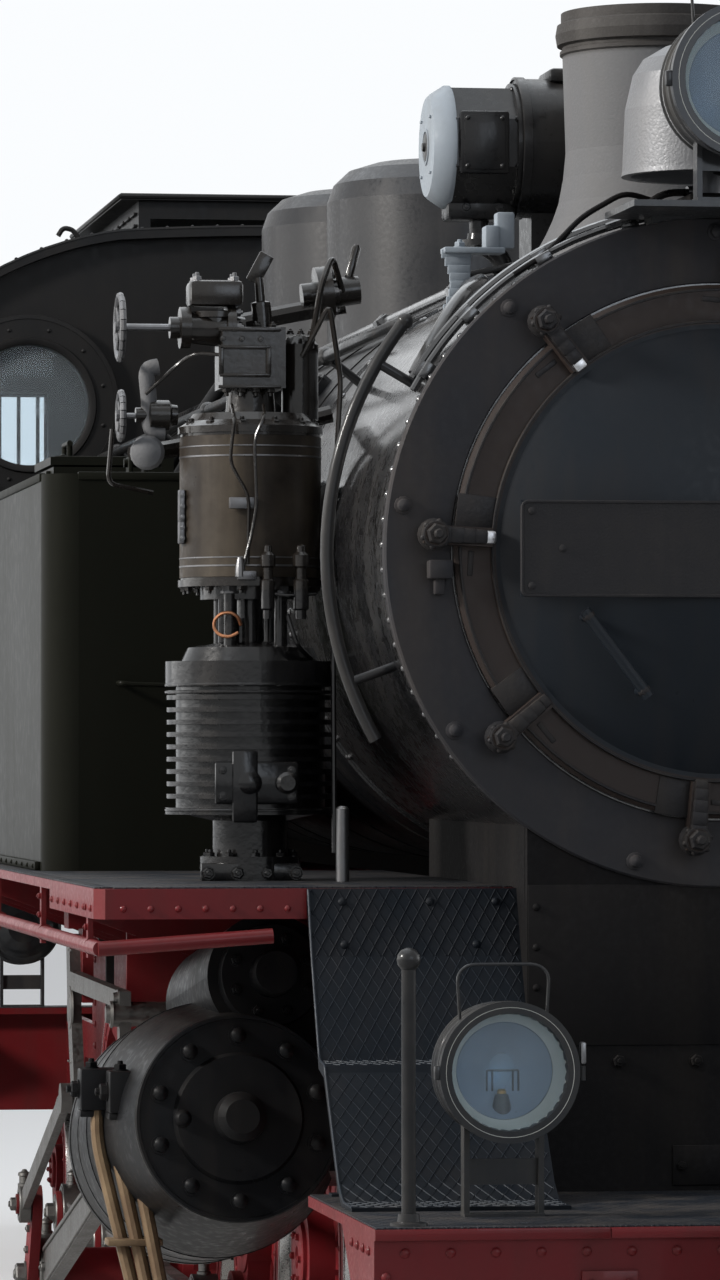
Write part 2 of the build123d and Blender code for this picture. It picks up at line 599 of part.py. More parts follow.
# Smokebox door: flange, dished centre, clamps, hinge straps, handle and the blank plate
door_x = smokebox_front_x + front_ring_thickness + 5
dish_radius = 520
dish_depth = 110
plate_size = (948, 214)
with BuildPart() as smokebox_door:
    turned([(door_x, 0), (door_x, door_radius), (door_x + 14, door_radius), (door_x + 22, door_radius - 12),
            (door_x + 22, dish_radius), (door_x + 34, dish_radius - 6), (door_x + 34, 0)], (0, 0, boiler_z),
           (1, 0, 0))
    sphere_r = (dish_radius**2 + dish_depth**2) / (2 * dish_depth)
    with BuildSketch(Plane(origin=(door_x + 34, 0, boiler_z), x_dir=(1, 0, 0), z_dir=(0, -1, 0))) as dish:
        with BuildLine():
            Line((0, 0), (dish_depth, 0))
            SagittaArc((dish_depth, 0), (0, dish_radius - 20), -dish_depth * 0.23)
            Line((0, dish_radius - 20), (0, 0))
        make_face()
    revolve(dish.sketch, axis=Axis((0, 0, boiler_z), (1, 0, 0)))
    plate_x = door_x + 34 + dish_depth + 6
    block(plate_x, plate_x + 8, -plate_size[0] / 2, plate_size[0] / 2, boiler_z - plate_size[1] / 2,
          boiler_z + plate_size[1] / 2)
    for y in (-380, 0, 380):
        bar((door_x + 30, y, boiler_z), (plate_x + 4, y, boiler_z), 22)
    for a in (85, 128, 177, 220, 265, 310, 50):
        c, s = cos(radians(a)), sin(radians(a))
        inner, outer = (door_radius - 55), 650
        with BuildSketch(Plane(origin=(door_x + 10, (inner + outer) / 2 * c, boiler_z + (inner + outer) / 2 * s),
                               x_dir=(0, c, s), z_dir=(1, 0, 0))) as dog:
            Rectangle(outer - inner + 50, 42)
        extrude(dog.sketch, amount=46)
        bar((door_x + 4, outer * c, boiler_z + outer * s), (door_x + 76, outer * c, boiler_z + outer * s), 26)
    for rise in (-hinge_rise, hinge_rise):
        z = boiler_z + rise
        block(door_x + 10, hinge_x + 14, 300, hinge_y - 10, z - 24, z + 24)
        bar((hinge_x, hinge_y, z - 27), (hinge_x, hinge_y, z + 27), 27)
        bar((hinge_x, hinge_y, z - 40), (hinge_x, hinge_y, z + 40), 14 + pin_clearance, mode=Mode.SUBTRACT)
    grip_x = door_x + 150
    bar((grip_x, -330, boiler_z - 137), (grip_x, -185, boiler_z - 328), 13)
    for y, z in ((-320, boiler_z - 150), (-195, boiler_z - 315)):
        bar((door_x + 30, y, z), (grip_x, y, z), 10)
save("smokebox_door", smokebox_door)

# Boiler barrel with its lagging bands, running back to the plate in the cab
with BuildPart() as boiler:
    bar((backhead_x, 0, boiler_z), (smokebox_rear_x, 0, boiler_z), boiler_radius)
save("boiler", boiler)

# Firebox sides and ash pan between the frames
with BuildPart() as firebox:
    block(-2560, -700, -plate_in + 15, plate_in - 15, 1300, 1760)
    with Locations(Plane(origin=(0, 0, boiler_z), z_dir=(1, 0, 0)).location):
        Cylinder(boiler_radius, 8000, mode=Mode.SUBTRACT)
    sheet_xz([(-2400, 790), (-1360, 790), (-900, 1300), (-2400, 1300)], -plate_in + 40, plate_in - 40)
save("firebox", firebox)

# Chimney: flared foot on the smokebox, tapered barrel and capped rim
chimney_top_z = 3578
with BuildPart() as chimney:
    foot_z = boiler_top_z - 60
    rings = [(foot_z, 310), (boiler_top_z, 276), (boiler_top_z + 22, 264), (boiler_top_z + 52, 250),
             (boiler_top_z + 92, 236), (boiler_top_z + 150, 225), (boiler_top_z + 212, 219),
             (chimney_top_z - 80, 227), (chimney_top_z - 76, 239), (chimney_top_z - 52, 243),
             (chimney_top_z - 28, 239), (chimney_top_z - 24, 230), (chimney_top_z, 230)]
    turned([(z - foot_z, r) for z, r in rings] + [(chimney_top_z - foot_z, flue_radius + 20), (0, flue_radius + 20)],
           (chimney_x, 0, foot_z), (0, 0, 1))
    with Locations(Plane(origin=(chimney_x, 0, boiler_z), z_dir=(1, 0, 0)).location):
        Cylinder(boiler_radius, 2000, mode=Mode.SUBTRACT)
save("chimney", chimney)

# Steam and sand domes, and the pair of safety valves behind them
dome_table = [  # x, radius, top z
    (1000, 350, boiler_top_z + 482),
    (-420, 350, boiler_top_z + 527),
]
with BuildPart() as domes:
    for x, r, top in dome_table:
        base = boiler_z + boiler_radius - 150
        turned([(0, 0), (0, r), (top - base - 120, r), (top - base - 70, r - 18), (top - base - 30, r - 60),
                (top - base - 8, r - 130), (top - base, r - 220), (top - base, 0)], (x, 0, base), (0, 0, 1))
    for y in (-110, 110):
        bar((-1500, y, boiler_z + 650), (-1500, y, boiler_z + 930), 50)
        bar((-1500, y, boiler_z + 930), (-1500, y, boiler_z + 990), 34)
    with Locations(Plane(origin=(0, 0, boiler_z), z_dir=(1, 0, 0)).location):
        Cylinder(boiler_radius, 9000, mode=Mode.SUBTRACT)
save("domes", domes)

# Turbine generator across the boiler top behind the chimney
generator_x, generator_z = 3645, boiler_top_z + 260
generator_end_y = -488
drum_radius, casing_radius = 168, 139
with BuildPart() as turbo_generator:
    turned([(0, 0), (0, 88), (12, 104), (44, 104), (44, 90), (60, 90), (60, 0)],
           (generator_x, generator_end_y, generator_z), (0, 1, 0))
    # The turbine's casing is eight-sided and bolts to the drum's flange
    with BuildSketch(Plane(origin=(generator_x, generator_end_y + 50, generator_z), x_dir=(1, 0, 0),
                           z_dir=(0, 1, 0))) as casing:
        RegularPolygon(casing_radius, 8, major_radius=False, rotation=22.5)
    extrude(casing.sketch, amount=160)
    turned([(200, 0), (200, 156), (214, 156), (214, drum_radius), (500, drum_radius), (530, 130), (530, 0)],
           (generator_x, generator_end_y, generator_z), (0, 1, 0))
    block(generator_x - 120, generator_x + 50, -240, 20, boiler_top_z - 60, generator_z - 120)
    with Locations(Plane(origin=(0, 0, boiler_z), z_dir=(1, 0, 0)).location):
        Cylinder(boiler_radius, 9000, mode=Mode.SUBTRACT)
save("turbo_generator", turbo_generator)

# Bell on its post between the chimney and the top lamp
bell_x, bell_mouth_z = 4640, boiler_top_z + 102
with BuildPart() as bell:
    mouth = (bell_x, 0, bell_mouth_z)
    turned([(0, 0), (0, 197), (11, 195), (150, 189), (229, 171), (265, 148), (294, 99), (307, 58), (310, 0)],
           mouth, (0, 0, 1))
    turned([(-5, 0), (-5, 176), (140, 168), (205, 150), (240, 110), (255, 60), (255, 0)], mouth, (0, 0, 1),
           mode=Mode.SUBTRACT)
    bar((bell_x, 0, boiler_top_z - 20), (bell_x, 0, bell_mouth_z + 280), 34)
    with Locations(Plane(origin=(0, 0, boiler_z), z_dir=(1, 0, 0)).location):
        Cylinder(boiler_radius, 12000, mode=Mode.SUBTRACT)
save("bell", bell)

# Side tanks: a filler with a coaming on top of each
filler_x = (1180, 1640)
filler_y = (905, 1195)
coaming = 30
filler_depth = 200
lid_gap = 5
lid_thickness = 22
coaming_z = tank_top_z + 60
lid_hinge_y, lid_hinge_z = 880, coaming_z + lid_gap + lid_thickness / 2
lid_knuckle = 13
for name, side in (("tank_right", RIGHT), ("tank_left", LEFT)):
    with BuildPart() as tank:
        y0, y1 = sorted((side * tank_in, side * tank_half_width))
        block(cab_front_x + wall_thickness, tank_front_x, y0, y1, board_z, tank_top_z)
        corners = tank.edges().filter_by(Axis.Z).group_by(Axis.X)[-1]
        outer = corners.sort_by(Axis.Y)[0 if side == RIGHT else -1]
        fillet(outer, 90)
        y0, y1 = sorted((side * filler_y[0], side * filler_y[1]))
        block(*filler_x, y0, y1, tank_top_z, coaming_z)
        block(filler_x[0] + coaming, filler_x[1] - coaming, y0 + coaming, y1 - coaming,
              tank_top_z - filler_depth, coaming_z + 5, mode=Mode.SUBTRACT)
        for x in filler_x:
            toward = 1 if x == filler_x[0] else -1
            xs = sorted((x, x + toward * 60))
            ys = sorted((side * (lid_hinge_y - 14), side * (filler_y[0] + 10)))
            block(*xs, *ys, coaming_z - 50, lid_hinge_z + lid_knuckle)
            bar((x, side * lid_hinge_y, lid_hinge_z), (x + toward * 120, side * lid_hinge_y, lid_hinge_z), 7)
        for x in filler_x:
            toward = 1 if x == filler_x[0] else -1
            xs = sorted((x - toward, x + toward * 60))
            ys = sorted((side * (filler_y[0] - 5), side * (filler_y[0] + 15)))
            block(*xs, *ys, coaming_z, lid_hinge_z + 30, mode=Mode.SUBTRACT)
    save(name, tank)

# Tank lids, hinged along their inner edge
for name, side in (("tank_lid_right", RIGHT), ("tank_lid_left", LEFT)):
    with BuildPart() as lid:
        y0, y1 = sorted((side * filler_y[0], side * (filler_y[1] + 8)))
        z0 = coaming_z + lid_gap
        block(*filler_x, y0, y1, z0, z0 + lid_thickness)
        ys = sorted((side * lid_hinge_y, side * (filler_y[0] + 20)))
        block(filler_x[0] + 65, filler_x[1] - 65, *ys, z0 + 2, z0 + lid_thickness)
        axis_start = (filler_x[0] + 65, side * lid_hinge_y, lid_hinge_z)
        axis_end = (filler_x[1] - 65, side * lid_hinge_y, lid_hinge_z)
        bar(axis_start, axis_end, lid_knuckle)
        bar((filler_x[0], side * lid_hinge_y, lid_hinge_z), (filler_x[1], side * lid_hinge_y, lid_hinge_z),
            7 + pin_clearance, mode=Mode.SUBTRACT)
        grip_y = side * (filler_y[1] - 60)
        mid_x = sum(filler_x) / 2
        for x in (mid_x - 70, mid_x + 70):
            bar((x, grip_y, z0 + lid_thickness - 5), (x, grip_y, z0 + lid_thickness + 45), 8)
        bar((mid_x - 78, grip_y, z0 + lid_thickness + 45), (mid_x + 78, grip_y, z0 + lid_thickness + 45), 8)
    save(name, lid)

# Running boards with the red edge, its pipe below, and brackets out from the frame
valance_bottom = 1462
step_out = 907
corner_cut = 44
valance_rear_x = 3500
pipe_z, pipe_x = 1396, 4575
with BuildPart() as running_boards:
    for side in (RIGHT, LEFT):
        back = cab_front_x + wall_thickness
        outline = [(back, side * plate_out), (board_front_x, side * plate_out),
                   (board_front_x, side * (board_half_width - corner_cut / 2)),
                   (board_front_x - corner_cut, side * board_half_width), (back, side * board_half_width)]
        sheet_xy(outline, board_z - board_thickness, board_z)
        edge = [(board_front_x, side * step_out), (board_front_x, side * (board_half_width - corner_cut / 2)),
                (board_front_x - corner_cut, side * board_half_width),
                (valance_rear_x, side * board_half_width), (valance_rear_x, side * (board_half_width - 15)),
                (board_front_x - corner_cut - 6, side * (board_half_width - 15)),
                (board_front_x - 15, side * (board_half_width - corner_cut / 2 - 6)),
                (board_front_x - 15, side * step_out)]
        sheet_xy(edge, valance_bottom, board_z - board_thickness)
        for x in (-1900, -612, 612, 2700):
            gusset = [(side * plate_out, 1130), (side * plate_out, board_z - board_thickness),
                      (side * 1300, board_z - board_thickness), (side * 1300, board_z - board_thickness - 60)]
            sheet_yz(gusset, x - 8, x + 8)
        pipe_y = side * board_half_width
        bar((back, pipe_y - side * 10, pipe_z), (pipe_x, pipe_y - side * 10, pipe_z), 17)
        bar((pipe_x, pipe_y - side * 4, pipe_z), (pipe_x - 10, side * 985, pipe_z + 28), 17)
        for x in (back + 150, -612, 612, 2000, 3240, 4350):
            ys = sorted((side * (board_half_width - 15), side * (board_half_width - 3)))
            block(x - 18, x + 18, *ys, pipe_z - 26, board_z - board_thickness + 5)
save("running_boards", running_boards)

# Front steps: sheets sloping down from the running boards to the platform, with a tread halfway
with BuildPart() as front_steps:
    upper = [(board_front_x, board_z), (board_front_x + 12, board_z), (4634, 1380), (4758, 1152), (4838, 1146),
             (4846, 1130), (5056, 900), (5120, 864), (5260, 862), (5260, platform_z)]
    under = [(5112, platform_z), (5044, 890), (4834, 1118), (4752, 1134), (4622, 1376),
             (board_front_x, board_z - board_thickness)]
    for side in (RIGHT, LEFT):
        sheet_xz(upper + under, side * plate_out, side * step_out)
        for y in (side * (plate_out + 40), side * (step_out - 52)):
            ys = sorted((y, y + side * 12))
            block(4760, 4776, *ys, platform_z, 1138)
save("front_steps", front_steps)


def roof_region(drop, bottom):
    """The closed outline below the roof's arc, in (y, z), lowered by drop."""
    crown = (cab_half_width - 690, roof_top_z - 20 - drop)
    shoulder = (cab_half_width - 301, roof_top_z - 143 - drop)
    eave = (cab_half_width + 35, roof_top_z - 395 - drop)
    with BuildSketch() as region:
        with BuildLine():
            ThreePointArc((-crown[0], crown[1]), (0, roof_top_z - drop), crown)
            ThreePointArc(crown, shoulder, eave)
            Polyline(eave, (eave[0], bottom), (-eave[0], bottom), (-eave[0], eave[1]))
            ThreePointArc((-eave[0], eave[1]), (-shoulder[0], shoulder[1]), (-crown[0], crown[1]))
        make_face()
    return region.sketch


def cross_plane(x):
    """A plane square to X whose sketch axes are (y, z)."""
    return Plane(origin=(x, 0, 0), x_dir=(0, 1, 0), z_dir=(1, 0, 0))


# Cab front wall with the two round windows, and the opening for the boiler
wall_bottom = 1440
window_y, window_z, window_radius = cab_half_width - 390, 2990, 200
window_frame = 300
with BuildPart() as cab_front:
    with BuildSketch(cross_plane(cab_front_x)) as wall:
        add(roof_region(roof_thickness, wall_bottom))
        with Locations((0, 2500)):
            Rectangle(2 * cab_half_width, 3000, mode=Mode.INTERSECT)
        with Locations((0, boiler_z)):
            Circle(boiler_radius, mode=Mode.SUBTRACT)
        with Locations((0, 1500)):
            Rectangle(2 * plate_out, 1100, mode=Mode.SUBTRACT)
        with Locations((-window_y, window_z), (window_y, window_z)):
            Circle(window_radius, mode=Mode.SUBTRACT)
    extrude(wall.sketch, amount=wall_thickness)
    with BuildSketch(cross_plane(cab_front_x + wall_thickness)) as cowls:
        with Locations((-window_y, window_z), (window_y, window_z)):
            Circle(window_frame)
            Circle(window_radius, mode=Mode.SUBTRACT)
    extrude(cowls.sketch, amount=45)
save("cab_front", cab_front)

# Cab sides: a window opening and a doorway in each, with the fixed hinge lugs
side_window_x, side_window_z = (-2920, -2320), (2450, 3030)
door_x_range, door_z_range = (-3920, -3260), (cab_floor_z, 3030)
hinge_door_x, hinge_door_y = door_x_range[1] + 12, cab_half_width + 16
hinge_door_z = (1700, 2400)
for name, side in (("cab_side_right", RIGHT), ("cab_side_left", LEFT)):
    with BuildPart() as cab_side:
        y0, y1 = sorted((side * (cab_half_width - wall_thickness), side * cab_half_width))
        block(cab_rear_x, cab_front_x, y0, y1, wall_bottom, roof_top_z - 415)
        block(*side_window_x, y0 - 1, y1 + 1, *side_window_z, mode=Mode.SUBTRACT)
        block(*door_x_range, y0 - 1, y1 + 1, *door_z_range, mode=Mode.SUBTRACT)
        for z in hinge_door_z:
            for dz in (-46, 18):
                ys = sorted((side * cab_half_width, side * (hinge_door_y + 12)))
                block(hinge_door_x - 10, hinge_door_x + 40, *ys, z + dz, z + dz + 28)
            bar((hinge_door_x, side * hinge_door_y, z - 46), (hinge_door_x, side * hinge_door_y, z + 46), 7)
    save(name, cab_side)

# Cab doors with a window in the upper half, hinged at the front edge
door_gap = 5
for name, side in (("cab_door_right", RIGHT), ("cab_door_left", LEFT)):
    with BuildPart() as cab_door:
        y0, y1 = sorted((side * (cab_half_width - 35), side * (cab_half_width - 5)))
        block(door_x_range[0] + door_gap, door_x_range[1] - door_gap, y0, y1, door_z_range[0] + door_gap,
              door_z_range[1] - door_gap)
        block(door_x_range[0] + 120, door_x_range[1] - 120, y0 - 1, y1 + 1, 2480, 2940, mode=Mode.SUBTRACT)
        for z in hinge_door_z:
            ys = sorted((side * (cab_half_width - 10), side * (hinge_door_y + 6)))
            block(hinge_door_x - 180, door_x_range[1] - door_gap, *ys, z - 13, z + 13)
            ys = sorted((side * (hinge_door_y - 6), side * (hinge_door_y + 6)))
            block(door_x_range[1] - door_gap - 1, hinge_door_x - 9, *ys, z - 13, z + 13)
            bar((hinge_door_x, side * hinge_door_y, z - 13), (hinge_door_x, side * hinge_door_y, z + 13), 13)
            bar((hinge_door_x, side * hinge_door_y, z - 20), (hinge_door_x, side * hinge_door_y, z + 20),
                7 + pin_clearance, mode=Mode.SUBTRACT)
        handle_x, handle_y = door_x_range[0] + 70, cab_half_width + 40
        bar((handle_x, side * (cab_half_width - 10), 2300), (handle_x, side * handle_y, 2300), 7)
        bar((handle_x - 15, side * handle_y, 2300), (handle_x + 110, side * handle_y, 2300), 9)
    save(name, cab_door)

# Cab rear wall with its two windows
with BuildPart() as cab_rear:
    with BuildSketch(cross_plane(cab_rear_x - wall_thickness)) as wall:
        add(roof_region(roof_thickness, wall_bottom))
        with Locations((0, 2500)):
            Rectangle(2 * cab_half_width, 3000, mode=Mode.INTERSECT)
        with Locations((-window_y + 60, window_z), (window_y - 60, window_z)):
            Rectangle(420, 330, mode=Mode.SUBTRACT)
        with Locations((0, 1470)):
            Rectangle(2 * plate_out, 200, mode=Mode.SUBTRACT)
    extrude(wall.sketch, amount=wall_thickness)
save("cab_rear", cab_rear)

# Cab roof with the raised ventilator
with BuildPart() as cab_roof:
    with BuildSketch(cross_plane(cab_rear_x - wall_thickness - 150)) as roof:
        add(roof_region(0, 3100))
        add(roof_region(roof_thickness, 3000), mode=Mode.SUBTRACT)
    roof_length = (cab_front_x + wall_thickness + 70) - (cab_rear_x - wall_thickness - 150)
    extrude(roof.sketch, amount=roof_length)
    vent_top = roof_top_z + 110
    block(-3900, -2330, -520, 520, roof_top_z - 45, vent_top)
    block(-3900, -2330, -480, 480, roof_top_z - 90, vent_top - 60, mode=Mode.SUBTRACT)
    block(-3940, -2290, -584, 584, vent_top, vent_top + 22)
save("cab_roof", cab_roof)

# Cab steps: two treads between side plates, hung below each doorway
step_x = (door_x_range[0] + 60, door_x_range[1] - 60)
step_treads = ((450, 330), (900, 250))  # height, depth inward from the cab side
with BuildPart() as cab_steps:
    for side in (RIGHT, LEFT):
        outer = cab_half_width - 5
        for x in step_x:
            cheek = [(side * outer, 430), (side * outer, 700), (side * outer, wall_bottom),
                     (side * (outer - 200), wall_bottom), (side * (outer - 330), 700), (side * (outer - 330), 430)]
            sheet_yz(cheek, x - 5, x + 5)
        for z, depth in step_treads:
            ys = sorted((side * (outer - depth), side * outer))
            block(*step_x, *ys, z, z + 12)
            ys = sorted((side * (outer - 12), side * outer))
            block(*step_x, *ys, z - 20, z + 12)
save("cab_steps", cab_steps)

# Cab floor on the frame, with the bunker's bearers behind
with BuildPart() as cab_floor:
    inner = cab_half_width - wall_thickness
    floor = [(cab_front_x, inner), (cab_rear_x, inner), (cab_rear_x, -inner), (cab_front_x, -inner),
             (cab_front_x, -plate_out), (-2630, -plate_out), (-2630, plate_out), (cab_front_x, plate_out)]
    sheet_xy(floor, wall_bottom, cab_floor_z)
    block(bunker_rear_x + 40, -2640, -plate_out, plate_out, frame_top_z, wall_bottom)
save("cab_floor", cab_floor)

# Bunker: an open box on the bearers, with its sides and rear sloping in below
with BuildPart() as bunker:
    wall = wall_thickness
    front = cab_rear_x - wall
    block(bunker_rear_x, front, -bunker_half_width, bunker_half_width, wall_bottom, bunker_top_z)
    block(bunker_rear_x + wall, front - wall, -bunker_half_width + wall, bunker_half_width - wall, cab_floor_z,
          bunker_top_z + 10, mode=Mode.SUBTRACT)
save("bunker", bunker)

with BuildPart() as coal:
    x0, x1 = bunker_rear_x + wall_thickness, cab_rear_x - 2 * wall_thickness
    heap = [(x0, cab_floor_z), (x1, cab_floor_z), (x1, 2440), (x1 - 350, 2560), (x0 + 400, 2540), (x0, 2380)]
    sheet_xz(heap, -bunker_half_width + wall_thickness, bunker_half_width - wall_thickness)
save("coal", coal)

# Air pump on the right running board, beside the smokebox
pump_x, pump_y = 3750, -(board_half_width - 455)
steam_radius, air_radius, rim_radius, fin_radius = 167, 178, 203, 200
pump_rows = [  # height above the running board, radius
    (0, 120), (60, 120), (60, 90), (145, 90), (158, 150), (160, rim_radius), (176, rim_radius),
    (176, air_radius), (466, air_radius), (466, rim_radius), (523, rim_radius), (523, 165), (556, 150),
    (570, 60), (570, 34), (670, 34), (670, 120), (700, 120), (700, steam_radius + 6),
    (716, steam_radius + 6), (716, steam_radius), (1064, steam_radius), (1064, steam_radius + 6),
    (1080, steam_radius + 6), (1094, 150), (1112, 138), (1112, 60), (1180, 55),
]
fin_count, first_fin, fin_pitch = 9, 203, 29.3
with BuildPart() as air_pump:
    turned([(0, 0)] + pump_rows + [(1180, 0)], (pump_x, pump_y, board_z), (0, 0, 1))
    for k in range(fin_count):
        with Locations((pump_x, pump_y, board_z + first_fin + fin_pitch * k)):
            Cylinder(fin_radius, 11)
    for dx, dy in ((-95, -60), (-95, 60), (95, -60), (95, 60)):
        bar((pump_x + dx, pump_y + dy, board_z + 530), (pump_x + dx, pump_y + dy, board_z + 710), 16)
    # The lubricator box stands on the middle boss, with the valve head beside it
    block(pump_x - 75, pump_x + 75, pump_y - 76, pump_y + 75, board_z + 1172, board_z + 1317)
    turned([(0, 0), (0, 44), (180, 44), (198, 30), (205, 0)], (pump_x, pump_y + 119, board_z + 1100), (0, 0, 1))
save("air_pump", air_pump)

# Lamps: an open bowl between two legs on a foot plate, two low and one high at each end
low_lamp, high_lamp = 150, 175
rim_depth = 25
lamp_table = [  # x of the rim, facing, y, z, z of the foot, radius, half width between the legs
    (5510, 1, -606, 1162, platform_z, low_lamp, 80),
    (5510, 1, 606, 1162, platform_z, low_lamp, 80),
    (5100, 1, 0, boiler_top_z + 275, boiler_top_z + 12, high_lamp, 95),
    (-5740, -1, -606, 1162, platform_z, low_lamp, 80),
    (-5740, -1, 606, 1162, platform_z, low_lamp, 80),
    (-5600, -1, 0, bunker_top_z + 275, bunker_top_z + 20, high_lamp, 95),
]
lamp_plate = 14
with BuildPart() as lamps:
    for x, facing, y, z, foot, r, legs in lamp_table:
        drum = 0.933 * r
        turned([(0, 0), (0, 0.4 * r), (0.3 * r, 0.79 * r), (0.333 * r, drum), (r, drum), (r, r),
                (r + rim_depth, r), (r + rim_depth, 0.83 * r), (0.8 * r, 0.787 * r), (0.4 * r, 0.533 * r),
                (0.233 * r, 0.2 * r), (0.233 * r, 0)], (x - facing * (r + rim_depth), y, z), (facing, 0, 0))
        mid = x - facing * (r / 2 + rim_depth)
        leg_top = z - sqrt(drum**2 - legs**2) + 10
        for dy in (-legs, legs):
            block(mid - 22, mid + 22, y + dy - 6, y + dy + 6, foot, leg_top)
        block(mid - 30, mid + 30, y - legs - 6, y + legs + 6, foot, foot + 10)
        block(mid - 6, mid + 6, y - legs, y + legs, foot + 70, foot + 125)
    plate_z = boiler_top_z + 12
    block(4703, 5050, -250, 250, plate_z - lamp_plate, plate_z)
    block(4703, 4790, -160, 160, plate_z - lamp_plate - 30, plate_z - lamp_plate)
    block(-5610, -5390, -110, 110, bunker_top_z, bunker_top_z + 20)
    with Locations(Plane(origin=(smokebox_front_x, 0, boiler_z), z_dir=(1, 0, 0)).location):
        Cylinder(boiler_radius, 1000, mode=Mode.SUBTRACT)
save("lamps", lamps)

# Handrails: along the boiler, round the smokebox, and the two rods on each beam
ring_rail = 860
ring_rail_x = 4550
rail_angle = 37.6
rail_y = ring_rail * cos(radians(rail_angle))
rail_height = boiler_z + ring_rail * sin(radians(rail_angle))
rail_radius = 15
with BuildPart() as handrails:
    for side in (RIGHT, LEFT):
        bar((cab_front_x + wall_thickness + 45, side * rail_y, rail_height),
            (ring_rail_x, side * rail_y, rail_height), rail_radius)
        with Locations((ring_rail_x, side * rail_y, rail_height)):
            Sphere(rail_radius + 4)
        tangent = (0, -side * sin(radians(rail_angle)), cos(radians(rail_angle)))
        with BuildSketch(Plane(origin=(ring_rail_x, side * rail_y, rail_height), z_dir=tangent)) as section:
            Circle(rail_radius)
        revolve(section.sketch, axis=Axis((0, 0, boiler_z), (-side, 0, 0)), revolution_arc=67.1)
        for x in (-1500, -300, 900, 2100, 3300):
            root = boiler_radius - 2
            y = root * 0.794
            bar((x, side * y, boiler_z + root * 0.608), (x, side * rail_y, rail_height), 11)
        for t in (150, 200):
            c, s_ = -side * cos(radians(t)), sin(radians(t))
            bar((ring_rail_x, boiler_radius * c, boiler_z + boiler_radius * s_),
                (ring_rail_x, ring_rail * c, boiler_z + ring_rail * s_), 11)
        for end in (1, -1):
            bar((end * 5650, side * 845, platform_z), (end * 5650, side * 845, 1400), 15)
            with Locations((end * 5650, side * 845, 1405)):
                Sphere(24)
    with Locations(Plane(origin=(0, 0, boiler_z), z_dir=(1, 0, 0)).location):
        Cylinder(boiler_radius, 12000, mode=Mode.SUBTRACT)
save("handrails", handrails)

# Cab fittings on the boiler's end: fire door, regulator and the two seats
with BuildPart() as cab_fittings:
    turned([(0, 0), (0, 210), (40, 210), (60, 190), (60, 0)], (backhead_x, 0, 1980), (-1, 0, 0))
    bar((backhead_x, 0, 2560), (backhead_x - 120, 0, 2560), 40)
    bar((backhead_x - 100, -20, 2560), (backhead_x - 100, -360, 2640), 16)
    for y in (-480, -280, 280, 480):
        bar((backhead_x, y, 2700), (backhead_x - 70, y, 2700), 70)
    for side in (RIGHT, LEFT):
        ys = sorted((side * (cab_half_width - 460), side * (cab_half_width - 110)))
        block(-3080, -2730, *ys, cab_floor_z, cab_floor_z + 480)
save("cab_fittings", cab_fittings)
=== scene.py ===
# Steam locomotive: the looks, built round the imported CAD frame. Metres, +X to the front, +Y to the
# left side, +Z up from the plane that the wheel flanges stand on.
import math
import random

import bmesh
import bpy
from mathutils import Matrix, Vector


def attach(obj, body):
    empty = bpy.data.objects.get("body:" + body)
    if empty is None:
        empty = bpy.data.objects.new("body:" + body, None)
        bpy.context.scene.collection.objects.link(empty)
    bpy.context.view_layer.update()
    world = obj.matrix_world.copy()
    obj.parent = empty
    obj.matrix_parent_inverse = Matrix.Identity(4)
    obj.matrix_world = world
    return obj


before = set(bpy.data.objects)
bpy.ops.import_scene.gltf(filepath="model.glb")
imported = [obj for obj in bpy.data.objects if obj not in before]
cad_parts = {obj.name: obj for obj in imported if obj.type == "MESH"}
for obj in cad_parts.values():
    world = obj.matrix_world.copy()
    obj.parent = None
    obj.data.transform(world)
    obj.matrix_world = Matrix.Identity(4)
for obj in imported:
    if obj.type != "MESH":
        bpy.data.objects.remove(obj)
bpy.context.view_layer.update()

# Studio: a pale floor, a bright overcast sky as one wide overhead panel, a crisp key from the right
# front and low fills, with the camera at the photographer's place, level with the side tanks.
scene = bpy.context.scene
scene.view_settings.view_transform = "Standard"

camera_data = bpy.data.cameras.new("camera")
camera_data.lens = 173.5
camera_data.sensor_width = 36.0
camera_data.clip_end = 200.0
camera = bpy.data.objects.new("camera", camera_data)
scene.collection.objects.link(camera)
camera.location = (18.33, -2.825, 1.83)
camera.rotation_euler = Vector((-1.0, 0.1481, 0.0189)).to_track_quat("-Z", "Y").to_euler()
scene.camera = camera


def feed(tree, node, inputs):
    """Sets inputs of a node, each to a plain value, an output, or another node's first output."""
    for socket, value in inputs.items():
        if isinstance(value, bpy.types.Node):
            value = value.outputs[0]
        if isinstance(value, bpy.types.NodeSocket):
            tree.links.new(value, node.inputs[socket])
        else:
            node.inputs[socket].default_value = value
    return node


def add(tree, kind, inputs=None, **settings):
    """A new shader node with its settings and inputs."""
    node = tree.nodes.new("ShaderNode" + kind)
    for name, value in settings.items():
        setattr(node, name, value)
    return feed(tree, node, inputs or {})


world = bpy.data.worlds.new("studio_air")
scene.world = world
world.use_nodes = True
tree = world.node_tree
dim_air = feed(tree, tree.nodes["Background"], {"Strength": 0.26, "Color": (0.84, 0.90, 1.0, 1)})
white_air = add(tree, "Background", {"Color": (0.96, 0.98, 1.0, 1)})
rays = add(tree, "LightPath").outputs
seen = rays["Is Camera Ray"]
for kind in ("Is Glossy Ray", "Is Transmission Ray"):
    seen = add(tree, "Math", {0: seen, 1: rays[kind]}, operation="MAXIMUM").outputs[0]
feed(tree, tree.nodes["World Output"], {"Surface": add(tree, "MixShader", {0: seen, 1: dim_air, 2: white_air})})


def panel_light(name, place, toward, size, power, colour):
    """A rectangular light of a given size, turned to face a point."""
    data = bpy.data.lights.new(name, "AREA")
    data.shape = "RECTANGLE"
    data.size, data.size_y = size
    data.energy = power
    data.color = colour
    light = bpy.data.objects.new(name, data)
    scene.collection.objects.link(light)
    light.location = place
    light.rotation_euler = (Vector(toward) - Vector(place)).to_track_quat("-Z", "Y").to_euler()


